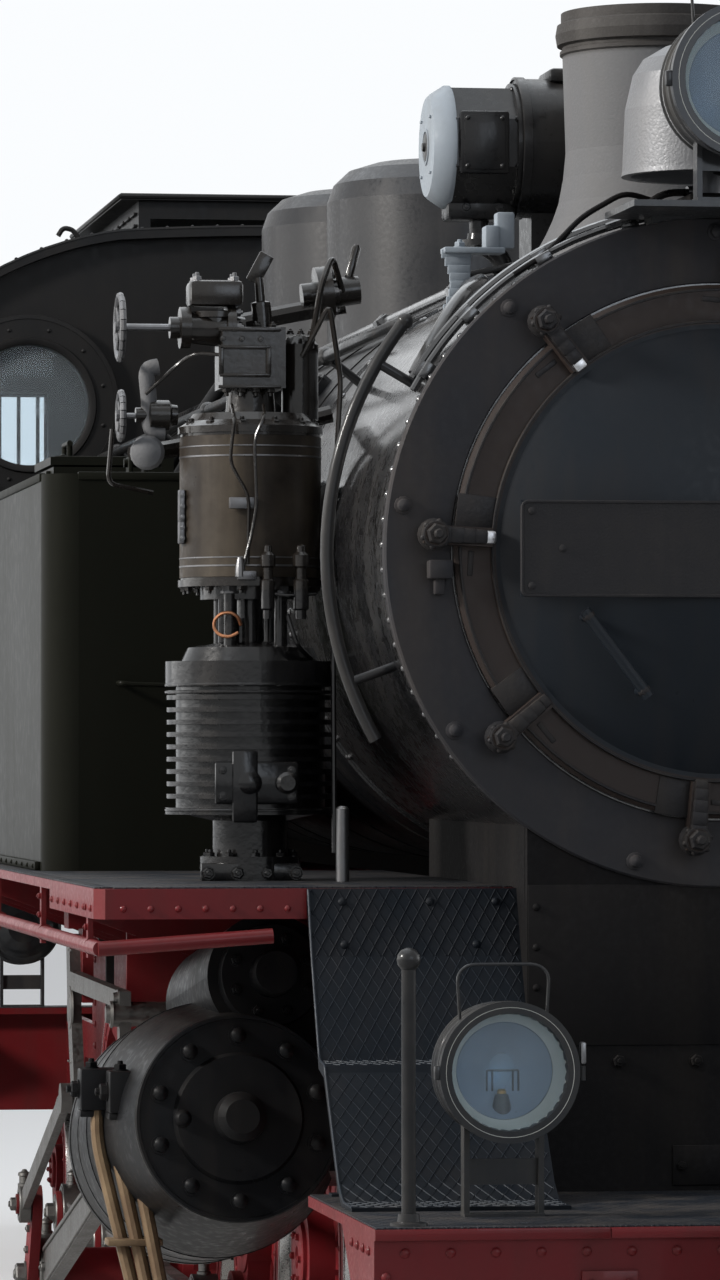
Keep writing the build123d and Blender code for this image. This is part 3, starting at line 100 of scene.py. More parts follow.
panel_light("sky_panel", (0.5, -2.0, 12.0), (1.0, 0, 2), (20, 10), 850, (0.88, 0.94, 1.0))
panel_light("key_panel", (5.5, -13.0, 8.0), (3.2, 0, 2), (2.6, 2.2), 2500, (1.0, 0.97, 0.93))
panel_light("front_panel", (17.0, 4.0, 6.0), (4.0, 0, 1.6), (7, 5), 240, (0.76, 0.86, 1.0))
panel_light("side_panel", (-4.0, -14.0, 4.0), (-1.0, 0, 1.6), (14, 4), 330, (1.0, 0.99, 0.97))
panel_light("left_panel", (0.0, 14.0, 5.0), (0.0, 0, 1.6), (14, 5), 420, (0.97, 0.98, 1.0))

floor_mesh = bpy.data.meshes.new("studio_floor")
floor_mesh.from_pydata([(-60, -60, 0), (60, -60, 0), (60, 60, 0), (-60, 60, 0)], [], [(0, 1, 2, 3)])
floor = bpy.data.objects.new("studio_floor", floor_mesh)
scene.collection.objects.link(floor)
floor_paint = bpy.data.materials.new("floor_paint")
floor_paint.use_nodes = True
# The floor shows paler to the camera than it lights the engine, and keeps its shadow
tree = floor_paint.node_tree
to_camera = add(tree, "LightPath").outputs["Is Camera Ray"]
feed(tree, tree.nodes["Principled BSDF"], {
    "Base Color": (0.46, 0.46, 0.455, 1), "Roughness": 0.85, "Emission Color": (0.97, 0.98, 1.0, 1),
    "Emission Strength": add(tree, "Math", {0: to_camera, 1: 0.34}, operation="MULTIPLY")})
floor_mesh.materials.append(floor_paint)


# Main frame, axle boxes, trucks and beams: rolled steel plate, riveted and bolted, painted oxide red
# and coated in road dirt. The weathering that every paint and metal shares is made here first.
def weathering_group():
    """Dust, streaks, grain and a zone, which every finish shares."""
    group = bpy.data.node_groups.new("weathering", "ShaderNodeTree")
    face = group.interface
    for name, value in (("Scale", 3.0), ("Dust", 0.3), ("Grain", 60.0), ("Zone Near", 0.0), ("Zone Far", 1.0)):
        face.new_socket(name=name, in_out="INPUT", socket_type="NodeSocketFloat").default_value = value
    for name in ("Zone Centre", "Zone Axes"):
        face.new_socket(name=name, in_out="INPUT", socket_type="NodeSocketVector")
    for name in ("Mask", "Streak", "Height", "Zone"):
        face.new_socket(name=name, in_out="OUTPUT", socket_type="NodeSocketFloat")
    given = group.nodes.new("NodeGroupInput").outputs
    place = add(group, "TexCoord").outputs["Object"]
    broad = add(group, "TexNoise", {"Vector": place, "Scale": given["Scale"], "Detail": 6, "Roughness": 0.62})
    # Dust settles on what faces up, and in patches elsewhere
    facing = add(group, "SeparateXYZ", {0: add(group, "NewGeometry").outputs["Normal"]}).outputs["Z"]
    up = add(group, "MapRange", {"Value": facing, "From Min": -0.3, "From Max": 1.0, "To Min": 0.25, "To Max": 1.0})
    patch = add(group, "MapRange", {"Value": broad, "From Min": 0.42, "From Max": 0.72})
    settled = add(group, "Math", {0: up, 1: patch}, operation="MULTIPLY")
    dust = add(group, "Math", {0: settled, 1: given["Dust"]}, operation="MULTIPLY")
    # Streaks run down: a noise drawn out along Z
    drawn = add(group, "Mapping", {"Vector": place, "Scale": (9.0, 9.0, 0.7)})
    streak = add(group, "TexNoise", {"Vector": drawn, "Scale": 1.0, "Detail": 4})
    narrow = add(group, "MapRange", {"Value": streak, "From Min": 0.5, "From Max": 0.75})
    fine = add(group, "TexNoise", {"Vector": place, "Scale": given["Grain"], "Detail": 3})
    height = add(group, "Math", {0: broad, 1: 0.35, 2: fine}, operation="MULTIPLY_ADD")
    # A zone is how far a point lies from a centre along the chosen axes, from near to far
    offset = add(group, "VectorMath", {0: place, 1: given["Zone Centre"]}, operation="SUBTRACT")
    chosen = add(group, "VectorMath", {0: offset, 1: given["Zone Axes"]}, operation="MULTIPLY")
    reach = add(group, "VectorMath", {0: chosen}, operation="LENGTH").outputs["Value"]
    zone = add(group, "MapRange", {"Value": reach, "From Min": given["Zone Near"], "From Max": given["Zone Far"]})
    feed(group, group.nodes.new("NodeGroupOutput"), {"Mask": dust, "Streak": narrow, "Height": height, "Zone": zone})
    return group


weathering = weathering_group()


def finish(name, colour, dirt, rough, metal=0.0, coat=0.0, specular=0.16, scale=3.0, dust=0.3, grain=60.0,
           bump=0.05, depth=0.002, spread=0.12, streaks=0.25, zone=None):
    """A weathered paint or metal: clean colour, dirt colour, and how rough, dusty and grainy it is."""
    material = bpy.data.materials.new(name)
    material.use_nodes = True
    tree = material.node_tree
    wear = add(tree, "Group", {}, node_tree=weathering)
    feed(tree, wear, {"Scale": scale, "Dust": dust, "Grain": grain})
    soiled = add(tree, "Math", {0: wear.outputs["Streak"], 1: streaks, 2: wear.outputs["Mask"]},
                 operation="MULTIPLY_ADD", use_clamp=True)
    clean = (*colour, 1)
    if zone:
        centre, axes, near, far, other = zone
        feed(tree, wear, {"Zone Centre": centre, "Zone Axes": axes, "Zone Near": near, "Zone Far": far})
        clean = add(tree, "Mix", {"A": clean, "B": (*other, 1), "Factor": wear.outputs["Zone"]},
                    data_type="RGBA").outputs["Result"]
    tint = add(tree, "Mix", {"A": clean, "B": (*dirt, 1), "Factor": soiled}, data_type="RGBA")
    height = wear.outputs["Height"]
    even = add(tree, "MapRange", {"Value": height, "From Min": 0.3, "From Max": 0.7,
                                  "To Min": max(0.03, rough - spread), "To Max": min(1.0, rough + spread)})
    feed(tree, tree.nodes["Principled BSDF"], {
        "Base Color": tint.outputs["Result"], "Metallic": metal, "Specular IOR Level": specular,
        "Coat Weight": coat, "Coat Roughness": 0.1,
        "Roughness": add(tree, "Math", {0: soiled, 1: 0.35, 2: even}, operation="MULTIPLY_ADD", use_clamp=True),
        "Normal": add(tree, "Bump", {"Strength": bump, "Distance": depth, "Height": height})})
    return material


def dress(material, *names):
    """A CAD node takes a finish in place of its plain one."""
    for name in names:
        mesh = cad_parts[name].data
        mesh.materials.clear()
        mesh.materials.append(material)


def slab(bm, low, high, edge=0.0, turn=None, about=None):
    """A plate between two opposite corners, its edges eased, and turned by (axis, degrees) about a point."""
    made = bmesh.ops.create_cube(bm, size=1.0)["verts"]
    bmesh.ops.scale(bm, vec=[abs(b - a) for a, b in zip(low, high)], verts=made)
    middle = Vector([(a + b) / 2 for a, b in zip(low, high)])
    bmesh.ops.translate(bm, vec=middle, verts=made)
    if edge:
        edges = list({e for v in made for e in v.link_edges})
        made = bmesh.ops.bevel(bm, geom=edges, offset=edge, segments=2, profile=0.5, affect="EDGES")["verts"]
    if turn:
        axis, angle = turn
        bmesh.ops.rotate(bm, verts=made, cent=about or middle, matrix=Matrix.Rotation(math.radians(angle), 3, axis))


def circle(count, first=0.0):
    """Cosines and sines of angles evenly spaced round a circle, the first a share of a step on."""
    return [(math.cos(t), math.sin(t)) for t in (2 * math.pi * (k + first) / count for k in range(count))]


def spun(bm, rings, foot, axis, sides=20, ends=True):
    """A turned piece: (distance along the axis, radius) rings from its foot, closed at its ends or open."""
    axis, foot = Vector(axis).normalized(), Vector(foot)
    across = axis.orthogonal().normalized()
    upright = axis.cross(across)
    loops = []
    for along, radius in rings:
        middle = foot + axis * along
        if radius < 1e-6:
            loops.append([bm.verts.new(middle)])
            continue
        loops.append([bm.verts.new(middle + (across * c + upright * s) * radius) for c, s in circle(sides)])
    for a, b in zip(loops, loops[1:]):
        for k in range(sides):
            m = (k + 1) % sides
            corners = list(dict.fromkeys((a[k % len(a)], a[m % len(a)], b[m % len(b)], b[k % len(b)])))
            if len(corners) > 2:
                bm.faces.new(corners)
    for loop in (loops[0], loops[-1]):
        if ends and len(loop) > 2:
            bm.faces.new(loop)


def rivet(bm, foot, axis, radius):
    """A snap-head rivet or the domed end of a set screw."""
    spun(bm, [(-0.002, radius), (radius * 0.25, radius), (radius * 0.6, radius * 0.7), (radius * 0.8, radius * 0.3),
              (radius * 0.82, 0)], foot, axis, 8)


def nut(bm, foot, axis, radius, stud=0.5):
    """A washer, a hexagon nut with its corners turned off, and the end of its stud."""
    spun(bm, [(-0.002, radius * 1.3), (radius * 0.2, radius * 1.3), (radius * 0.2, 0)], foot, axis, 12)
    spun(bm, [(0, radius * 1.1), (radius * 0.95, radius * 1.1), (radius * 1.12, radius * 0.9), (radius * 1.12, 0)],
         foot, axis, 6)
    spun(bm, [(radius, radius * 0.5), (radius * (1.1 + stud), radius * 0.5), (radius * (1.2 + stud), radius * 0.38),
              (radius * (1.2 + stud), 0)], foot, axis, 8)


def piece(name, bm, material, body="frame", crease=35):
    """Closes a mesh as one named piece with its finish, which rides on a body."""
    bmesh.ops.recalc_face_normals(bm, faces=bm.faces)
    mesh = bpy.data.meshes.new(name)
    bm.to_mesh(mesh)
    bm.free()
    mesh.shade_smooth()
    mesh.set_sharp_from_angle(angle=math.radians(crease))
    mesh.materials.append(material)
    thing = bpy.data.objects.new(name, mesh)
    scene.collection.objects.link(thing)
    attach(thing, body)


frame_red = finish("frame_red", (0.120, 0.008, 0.010), (0.030, 0.020, 0.016), 0.36, coat=0.15, scale=5.0,
                   dust=0.5, grain=80, bump=0.15)
dress(frame_red, "main_frame", "axle_boxes", "motion_brackets", "lead_truck", "trail_truck", "buffer_beams",
      "running_boards")
plate_face = 0.430
axles = [2.45, 1.225, 0.0, -1.225, -2.45]
bm = bmesh.new()
for side in (-1, 1):
    out = (0, side, 0)
    for k in range(61):
        rivet(bm, (-4.5 + 0.15 * k, side * plate_face, 1.222), out, 0.012)
    for x, low, high in ((-4.56, 0.75, 1.15), (-3.3, 0.75, 1.18), (3.3, 0.80, 1.18), (4.56, 0.75, 1.15),
                         (-1.8375, 0.46, 0.72), (-0.6125, 0.46, 0.72), (0.6125, 0.46, 0.72), (1.8375, 0.46, 0.72)):
        for k in range(6):
            rivet(bm, (x, side * plate_face, low + (high - low) * k / 5), out, 0.013)
    for x in axles:
        # Bolted horn guides, and the keep across the foot of each horn gap
        for dx in (-0.155, 0.155):
            slab(bm, (x + dx - 0.022, side * 0.43, 0.405), (x + dx + 0.022, side * 0.443, 0.705), 0.003)
            for k in range(4):
                rivet(bm, (x + dx, side * 0.443, 0.44 + 0.075 * k), out, 0.010)
        slab(bm, (x - 0.17, side * 0.398, 0.352), (x + 0.17, side * 0.446, 0.384), 0.004)
        for dx in (-0.15, 0.15):
            nut(bm, (x + dx, side * 0.42, 0.352), (0, 0, -1), 0.014)
    for end in (1, -1):
        for k in range(5):
            rivet(bm, (end * (5.20 + 0.09 * k), side * plate_face, 0.52), out, 0.012)
            rivet(bm, (end * (5.20 + 0.09 * k), side * plate_face, 0.79), out, 0.012)
piece("frame_rivets", bm, frame_red)

# Springs, brake rigging and brake cylinder below the frame: spring steel leaves in a forged buckle
# under each axle box, round pull rods and cross shafts, and a cast cylinder between the plates.
X, Y, Z = (1, 0, 0), (0, 1, 0), (0, 0, 1)
carrying_x = 4.35
chassis_black = finish("chassis_black", (0.012, 0.011, 0.011), (0.055, 0.044, 0.034), 0.5, scale=5.0, dust=0.8,
                       grain=90, bump=0.25)
dress(chassis_black, "brake_gear", "couplers", "firebox")
bm = bmesh.new()
for x in axles:
    for side in (-1, 1):
        y0, y1 = sorted((side * 0.312, side * 0.388))
        for leaf in range(7):
            half, low = 0.40 - 0.048 * leaf, 0.340 - 0.011 * leaf
            slab(bm, (x - half * 0.5, y0, low), (x + half * 0.5, y1, low + 0.010), 0.002)
            for dx in (-1, 1):
                slab(bm, (x + dx * half * 0.75 - half * 0.26, y0, low + half * 0.03),
                     (x + dx * half * 0.75 + half * 0.26, y1, low + half * 0.03 + 0.010), 0.002, turn=(Y, -dx * 6))
        slab(bm, (x - 0.035, y0 - 0.008, 0.262), (x + 0.035, y1 + 0.008, 0.372), 0.006)
        for dx in (-0.385, 0.385):
            spun(bm, [(0, 0.012), (0.20, 0.012)], (x + dx, side * 0.35, 0.33), Z, 8)
            nut(bm, (x + dx, side * 0.35, 0.335), (0, 0, -1), 0.016)
for x in axles:
    spun(bm, [(0, 0.018), (1.10, 0.018)], (x - 0.57, -0.55, 0.385), Y, 12)
    slab(bm, (x - 0.60, -0.03, 0.36), (x - 0.54, 0.03, 0.41), 0.006)
    for side in (-1, 1):
        nut(bm, (x - 0.57, side * 0.55, 0.385), (0, side, 0), 0.020)
spun(bm, [(0, 0.016), (5.00, 0.016)], (-3.08, 0, 0.385), X, 10)
spun(bm, [(0, 0.10), (0.02, 0.165), (0.05, 0.17), (0.05, 0.150), (0.33, 0.150), (0.33, 0.17), (0.37, 0.17),
          (0.40, 0.12), (0.43, 0.04), (0.46, 0.04)], (-3.72, 0, 0.72), Z, 28)
for k in range(10):
    t = 0.628 * k
    nut(bm, (-3.72 + 0.16 * math.cos(t), 0.16 * math.sin(t), 1.09), Z, 0.011)
for end in (1, -1):
    for side in (-1, 1):
        for leaf in range(5):
            half, low = 0.26 - 0.04 * leaf, 0.448 + 0.010 * leaf
            slab(bm, (end * carrying_x - half, side * 0.37 - 0.03, low),
                 (end * carrying_x + half, side * 0.37 + 0.03, low + 0.009), 0.002)
        slab(bm, (end * carrying_x - 0.03, side * 0.37 - 0.036, 0.434),
             (end * carrying_x + 0.03, side * 0.37 + 0.036, 0.512), 0.005)
piece("springs_and_brake_rods", bm, chassis_black)

# Buffer beams and platforms: a flanged steel beam in red with rivet rows and a butt joint on the
# edge strip, and a dark chequered tread plate on the platform behind it.
bm = bmesh.new()
for end in (1, -1):
    for z in (0.478, 0.800):
        for k in range(19):
            rivet(bm, (end * 5.70, -0.86 + 0.0955 * k, z), (end, 0, 0), 0.011)
    for y in (-0.90, 0.90):
        for k in range(5):
            rivet(bm, (end * 5.70, y, 0.53 + 0.055 * k), (end, 0, 0), 0.011)
    for y0, y1 in ((-0.925, -0.4315), (-0.4285, 0.4285), (0.4315, 0.925)):
        slab(bm, (end * 5.7125, y0, 0.827), (end * 5.716, y1, 0.850), 0.0012)
    for side in (-1, 1):
        for k in range(4):
            rivet(bm, (end * (5.63 - 0.08 * k), side * 0.925, 0.80), (0, side, 0), 0.010)
        slab(bm, (end * 5.702 - 0.006, side * 0.43 - 0.06, 0.62), (end * 5.702 + 0.006, side * 0.43 + 0.06, 0.76),
             0.003)
        for dy, z in ((-0.04, 0.65), (0.04, 0.65), (-0.04, 0.73), (0.04, 0.73)):
            nut(bm, (end * 5.708, side * 0.43 + dy, z), (end, 0, 0), 0.011)
piece("beam_rivets", bm, frame_red)


def tread_group():
    """Raised crossing ribs on tread plate, as a height."""
    group = bpy.data.node_groups.new("tread_ribs", "ShaderNodeTree")
    group.interface.new_socket(name="Pitch", in_out="INPUT", socket_type="NodeSocketFloat").default_value = 30.0
    group.interface.new_socket(name="Rib", in_out="OUTPUT", socket_type="NodeSocketFloat")
    pitch = group.nodes.new("NodeGroupInput").outputs["Pitch"]
    place = add(group, "TexCoord").outputs["Object"]
    ribs = []
    for slant in (1.0, -1.0):
        along = add(group, "VectorMath", {0: place, 1: (0.62, slant, 0.0)}, operation="DOT_PRODUCT").outputs["Value"]
        scaled = add(group, "Math", {0: along, 1: pitch}, operation="MULTIPLY")
        fold = add(group, "Math", {0: scaled, 1: 0.5}, operation="PINGPONG")
        ribs.append(add(group, "MapRange", {"Value": fold, "From Min": 0.05, "From Max": 0.13,
                                            "To Min": 1.0, "To Max": 0.0}))
    top = add(group, "Math", {0: ribs[0], 1: ribs[1]}, operation="MAXIMUM")
    feed(group, group.nodes.new("NodeGroupOutput"), {"Rib": top})
    return group


tread_black = finish("tread_black", (0.010, 0.012, 0.016), (0.060, 0.050, 0.042), 0.42, scale=7.0, dust=0.6,
                     grain=90, bump=0.15)
tree = tread_black.node_tree
grain = next(node for node in tree.nodes if node.type == "BUMP")
ribs = add(tree, "Group", node_tree=tread_group())
raised = add(tree, "Bump", {"Strength": 0.9, "Distance": 0.003, "Height": ribs, "Normal": grain})
feed(tree, tree.nodes["Principled BSDF"], {"Normal": raised})
bm = bmesh.new()
slab(bm, (4.722, -0.922, 0.849), (5.709, 0.922, 0.8535), 0.001)
slab(bm, (-5.709, -0.922, 0.849), (-5.566, 0.922, 0.8535), 0.001)
piece("platform_treads", bm, tread_black)

# Couplers: a forged centre buffer with a collar on its shank, a cast base plate bolted to the beam,
# and a draw plate with its loose pin below.
bm = bmesh.new()
for end in (1, -1):
    for y in (-0.14, 0.14):
        for z in (0.50, 0.60, 0.79):
            nut(bm, (end * 5.725, y, z), (end, 0, 0), 0.014)
    spun(bm, [(0, 0.0172), (0.115, 0.0172)], (end * 6.06, 0, 0.470), Z, 16)
    spun(bm, [(0, 0.026), (0.012, 0.028), (0.022, 0.020), (0.026, 0)], (end * 6.06, 0, 0.5405), Z, 16)
    spun(bm, [(0, 0.094), (0.02, 0.100), (0.04, 0.094)], (end * 5.86, 0, 0.69), (end, 0, 0), 24)
    for side in (-1, 1):
        slab(bm, (end * 5.77 - 0.05, side * 0.078 - 0.008, 0.54), (end * 5.77 + 0.05, side * 0.078 + 0.008, 0.62),
             0.003)
piece("coupler_bolts", bm, chassis_black)

# Wheels: cast spoked centres in red with shrunk-on steel tyres whose treads are run bright, the
# tyre screws round the rim, and a cap with six screws over each axle end.
wheel_red = finish("wheel_red", (0.150, 0.010, 0.013), (0.034, 0.023, 0.018), 0.42, scale=6.0, dust=0.8, grain=90,
                   bump=0.2)
tread_steel = finish("tread_steel", (0.42, 0.41, 0.40), (0.12, 0.085, 0.06), 0.22, metal=1.0, scale=8.0, dust=0.25,
                     grain=150, bump=0.06, spread=0.06)
wheel_z = 0.528
# Each wheelset's name, x, z, wheel radius, hub face, hub radius and number of tyre screws
wheel_table = [("wheelset_%d" % (k + 1), x, wheel_z, 0.500, 0.625, 0.140, 24) for k, x in enumerate(axles)]
wheel_table += [("wheelset_lead", carrying_x, 0.303, 0.275, 0.605, 0.095, 12),
                ("wheelset_trail", -carrying_x, 0.303, 0.275, 0.605, 0.095, 12)]
dress(wheel_red, *[row[0] for row in wheel_table])
for name, x, z, radius, hub_out, hub, screws in wheel_table:
    bm, worn = bmesh.new(), bmesh.new()
    for side in (-1, 1):
        out = (0, side, 0)
        for c, s in circle(screws, 0.5):
            rivet(bm, (x + (radius - 0.08) * c, side * 0.587, z + (radius - 0.08) * s), out, 0.008)
        spun(bm, [(-0.002, hub * 0.68), (0.010, hub * 0.68), (0.014, hub * 0.62), (0.014, hub * 0.22),
                  (0.006, hub * 0.18), (0.006, 0)], (x, side * hub_out, z), out, 24)
        for c, s in circle(6):
            nut(bm, (x + hub * 0.45 * c, side * (hub_out + 0.014), z + hub * 0.45 * s), out, 0.008, 0.2)
        spun(bm, [(0, radius - 0.058), (0.003, radius - 0.056), (0.003, radius - 0.064)], (x, side * 0.5865, z),
             out, 48, False)
        spun(worn, [(0.0, radius + 0.0005), (0.004, radius + 0.0012), (0.083, radius + 0.0012),
                    (0.0865, radius - 0.001), (0.0865, radius - 0.012), (0.0, radius - 0.012)],
             (x, side * 0.5010, z), out, 64, False)
        spun(worn, [(0.0, radius + 0.021), (0.0088, radius + 0.0279), (0.0112, radius + 0.0279),
                    (0.020, radius + 0.0236), (0.028, radius + 0.008),
                    (0.026, radius + 0.002), (0.0, radius + 0.002)], (x, side * 0.4645, z), out, 64, False)
    piece(name + "_screws", bm, wheel_red, body=name)
    piece(name + "_worn_tread", worn, tread_steel, body=name)

# Rods and valve gear: forged steel, bright and oily, with raised edges along the coupling rods, screwed
# oil cups on the eyes, collars with nuts on the crank pins, and split cotters on the small pins.
motion_steel = finish("motion_steel", (0.16, 0.155, 0.148), (0.035, 0.029, 0.022), 0.34, metal=1.0, scale=7.0,
                      dust=0.6, grain=120, bump=0.12)
dress(motion_steel, "coupling_rod_right", "coupling_rod_left", "main_rod_right", "main_rod_left",
      "eccentric_rod_right", "eccentric_rod_left", "crossheads", "valve_gear")
slope = math.radians(6.55)
throw, main_rod_length = 0.25, 2.2
crank = {-1: math.radians(258), 1: math.radians(168)}
side_name = {-1: "right", 1: "left"}


def on_slope(along, up):
    """(x, z) of a point along the piston line from the driving axle, and square to it."""
    return along * math.cos(slope) - up * math.sin(slope), wheel_z + along * math.sin(slope) + up * math.cos(slope)


def oil_cup(bm, x, y, z):
    """A screwed oil cup with its knob, standing on a rod's eye."""
    spun(bm, [(-0.004, 0.020), (0.008, 0.020), (0.010, 0.016), (0.030, 0.016), (0.032, 0.020), (0.040, 0.019),
              (0.044, 0.010), (0.050, 0.006), (0.051, 0)], (x, y, z), Z, 12)


for side in (-1, 1):
    out = (0, side, 0)
    turn = crank[side]
    pins = [(x + throw * math.cos(turn), wheel_z + throw * math.sin(turn)) for x in axles]
    bm = bmesh.new()
    for k, (px, pz) in enumerate(pins):
        big = 0.065 if k == 2 else 0.055
        oil_cup(bm, px, side * 0.725, pz + big + 0.040)
        spun(bm, [(-0.002, big + 0.036), (0.003, big + 0.034), (0.003, big + 0.022), (-0.002, big + 0.022)],
             (px, side * 0.760, pz), out, 28)
        if k:
            # The wedge bolts beside each eye, and the raised edges of the bar between two eyes
            ahead = pins[k - 1][0]
            for low in (-0.041, 0.029):
                slab(bm, (px + big + 0.05, side * 0.746, pz + low), (ahead - 0.105, side * 0.753, pz + low + 0.012),
                     0.002)
            for x in (px + big + 0.075, ahead - 0.13):
                nut(bm, (x, side * 0.748, pz), out, 0.012, 0.3)
    piece("coupling_rod_edges_" + side_name[side], bm, motion_steel, body="coupling_rod_" + side_name[side])
    # The crosshead's place along the slope, from the crank's angle and the main rod's length
    (bx, bz), swing = pins[2], turn - slope
    along = throw * math.cos(swing) + math.sqrt(main_rod_length ** 2 - (throw * math.sin(swing)) ** 2)
    sx, sz = on_slope(along, 0)
    lean = math.atan2(sz - bz, sx - bx)
    bm = bmesh.new()
    for edge in (-1, 1):
        start = (bx + 0.16 * math.cos(lean) - edge * 0.050 * math.sin(lean), bz + 0.16 * math.sin(lean)
                 + edge * 0.050 * math.cos(lean))
        end = (sx - 0.11 * math.cos(lean) - edge * 0.035 * math.sin(lean), sz - 0.11 * math.sin(lean)
               + edge * 0.035 * math.cos(lean))
        run = Vector((end[0] - start[0], 0, end[1] - start[1]))
        mid = Vector(((start[0] + end[0]) / 2, side * 1.071, (start[1] + end[1]) / 2))
        slab(bm, (mid.x - run.length / 2, mid.y - 0.004, mid.z - 0.006),
             (mid.x + run.length / 2, mid.y + 0.004, mid.z + 0.006),
             0.002, turn=(Y, -math.degrees(math.atan2(run.z, run.x))))
    oil_cup(bm, bx - 0.05 * math.sin(lean), side * 1.048, bz + 0.118)
    oil_cup(bm, sx, side * 1.048, sz + 0.074)
    for x, z, r in ((bx, bz, 0.112), (sx, sz, 0.070)):
        spun(bm, [(-0.002, r), (0.003, r - 0.002), (0.003, r - 0.022), (-0.002, r - 0.022)], (x, side * 1.075, z),
             out, 32)
    spun(bm, [(0, 0.046), (0.0035, 0.044), (0.0035, 0)], (sx, side * 1.0745, sz), out, 24)
    for dx in (0.135, 0.16):
        nut(bm, (bx + dx * math.cos(lean), side * 1.068, bz + dx * math.sin(lean)), out, 0.011, 0.3)
    piece("main_rod_edges_" + side_name[side], bm, motion_steel, body="main_rod_" + side_name[side])
    ex, ez = 0.115 * math.cos(turn + math.pi / 2), wheel_z + 0.115 * math.sin(turn + math.pi / 2)
    bm = bmesh.new()
    spun(bm, [(-0.002, 0.052), (0.003, 0.050), (0.003, 0.036), (-0.002, 0.036)], (ex, side * 1.145, ez), out, 24)
    oil_cup(bm, ex, side * 1.130, ez + 0.052)
    piece("eccentric_rod_cup_" + side_name[side], bm, motion_steel, body="eccentric_rod_" + side_name[side])
    for body, (px, pz) in [("wheelset_%d" % (k + 1), pins[k]) for k in range(5) if k != 2]:
        bm = bmesh.new()
        nut(bm, (px, side * 0.782, pz), out, 0.030, 0.1)
        spun(bm, [(0.0, 0.064), (0.004, 0.062), (0.004, 0)], (px, side * 0.7815, pz), out, 24)
        piece("pin_nut_%s_%s" % (body[-1], side_name[side]), bm, motion_steel, body=body)
    bm = bmesh.new()
    nut(bm, (ex, side * 1.153, ez), out, 0.018, 0.2)
    for t in (0.35, 0.65):
        nut(bm, (pins[2][0] * (1 - t) + ex * t, side * 1.109, pins[2][1] * (1 - t) + ez * t), out, 0.010, 0.2)
    nut(bm, (pins[2][0], side * 1.109, pins[2][1]), out, 0.030, 0.1)
    piece("return_crank_bolts_" + side_name[side], bm, motion_steel, body="wheelset_3")
    # Crosshead slipper bolts, the levers' pins, and the link's bearing with its screws
    bm = bmesh.new()
    for da in (-0.11, -0.04, 0.04, 0.11):
        x, z = on_slope(along + da, 0.085)
        nut(bm, (x, side * 1.015, z), out, 0.013, 0.3)
    x, z = on_slope(along, 0.205)
    oil_cup(bm, x, side * 0.985, z)
    for a, up, y, r in ((along, -0.135, 1.110, 0.020), (along + 0.42, -0.135, 1.110, 0.020),
                        (2.56, 0.345, 1.130, 0.024), (2.56, 0.385, 1.110, 0.018)):
        x, z = on_slope(a, up)
        # The eccentric rod sweeps close past the pins behind the cylinder, so their heads are thin there
        tall = 0.014 if a == 2.56 else 0.0035
        spun(bm, [(-0.004, r * 1.5), (0.003, r * 1.4), (0.003, r), (tall, r * 0.9), (tall, 0)], (x, side * y, z),
             out, 16)
    spun(bm, [(-0.004, 0.062), (0.002, 0.060), (0.002, 0.040), (0.0035, 0.038), (0.0035, 0)],
         (1.25, side * 1.110, 1.13), out, 24)
    for dx, dz in ((-0.035, 0.16), (0.035, 0.16), (-0.035, -0.15), (0.035, -0.15)):
        rivet(bm, (1.25 + dx, side * 1.110, 1.13 + dz), out, 0.004)
    piece("motion_pins_" + side_name[side], bm, motion_steel)

# Cylinders: iron castings in a sheet steel lagging jacket, black, held by bands; the front cover is
# bolted with ten domed nuts round the ring, with cock blocks on the flank and drain pipes below.
black_enamel = finish("black_enamel", (0.0060, 0.0064, 0.0074), (0.042, 0.037, 0.032), 0.28, specular=0.08,
                      scale=2.2, dust=0.4, grain=45, bump=0.10)
dress(black_enamel, "cylinder_blocks")


def bent_tube(bm, points, radius, bend=0.05, sides=10):
    """A rigid pipe along straight lengths, with a bend of a given reach at each corner."""
    points = [Vector(p) for p in points]
    way = [points[0]]
    for before, corner, after in zip(points, points[1:], points[2:]):
        back, on = before - corner, after - corner
        a = corner + back.normalized() * min(bend, back.length * 0.45)
        b = corner + on.normalized() * min(bend, on.length * 0.45)
        way += [a * (1 - t) ** 2 + corner * 2 * t * (1 - t) + b * t ** 2 for t in (0, 0.2, 0.4, 0.6, 0.8, 1)]
    way.append(points[-1])
    loops, across = [], None
    for k, p in enumerate(way):
        along = (way[min(k + 1, len(way) - 1)] - way[max(k - 1, 0)]).normalized()
        across = along.orthogonal() if across is None else across - along * across.dot(along)
        across.normalize()
        upright = along.cross(across)
        loops.append([bm.verts.new(p + (across * c + upright * s) * radius) for c, s in circle(sides)])
    for a, b in zip(loops, loops[1:]):
        for m in range(sides):
            bm.faces.new((a[m], a[(m + 1) % sides], b[(m + 1) % sides], b[m]))
    bm.faces.new(loops[0])
    bm.faces.new(loops[-1])


along_axis = (math.cos(slope), 0, math.sin(slope))
cylinder_y, valve_y, valve_up = 0.975, 0.88, 0.345


def round_slope(along, y, radius, c, s, up=0.0):
    """A point round a line that runs along the slope, at an angle given by its cosine and sine."""
    x, z = on_slope(along, up + radius * s)
    return x, y + radius * c, z


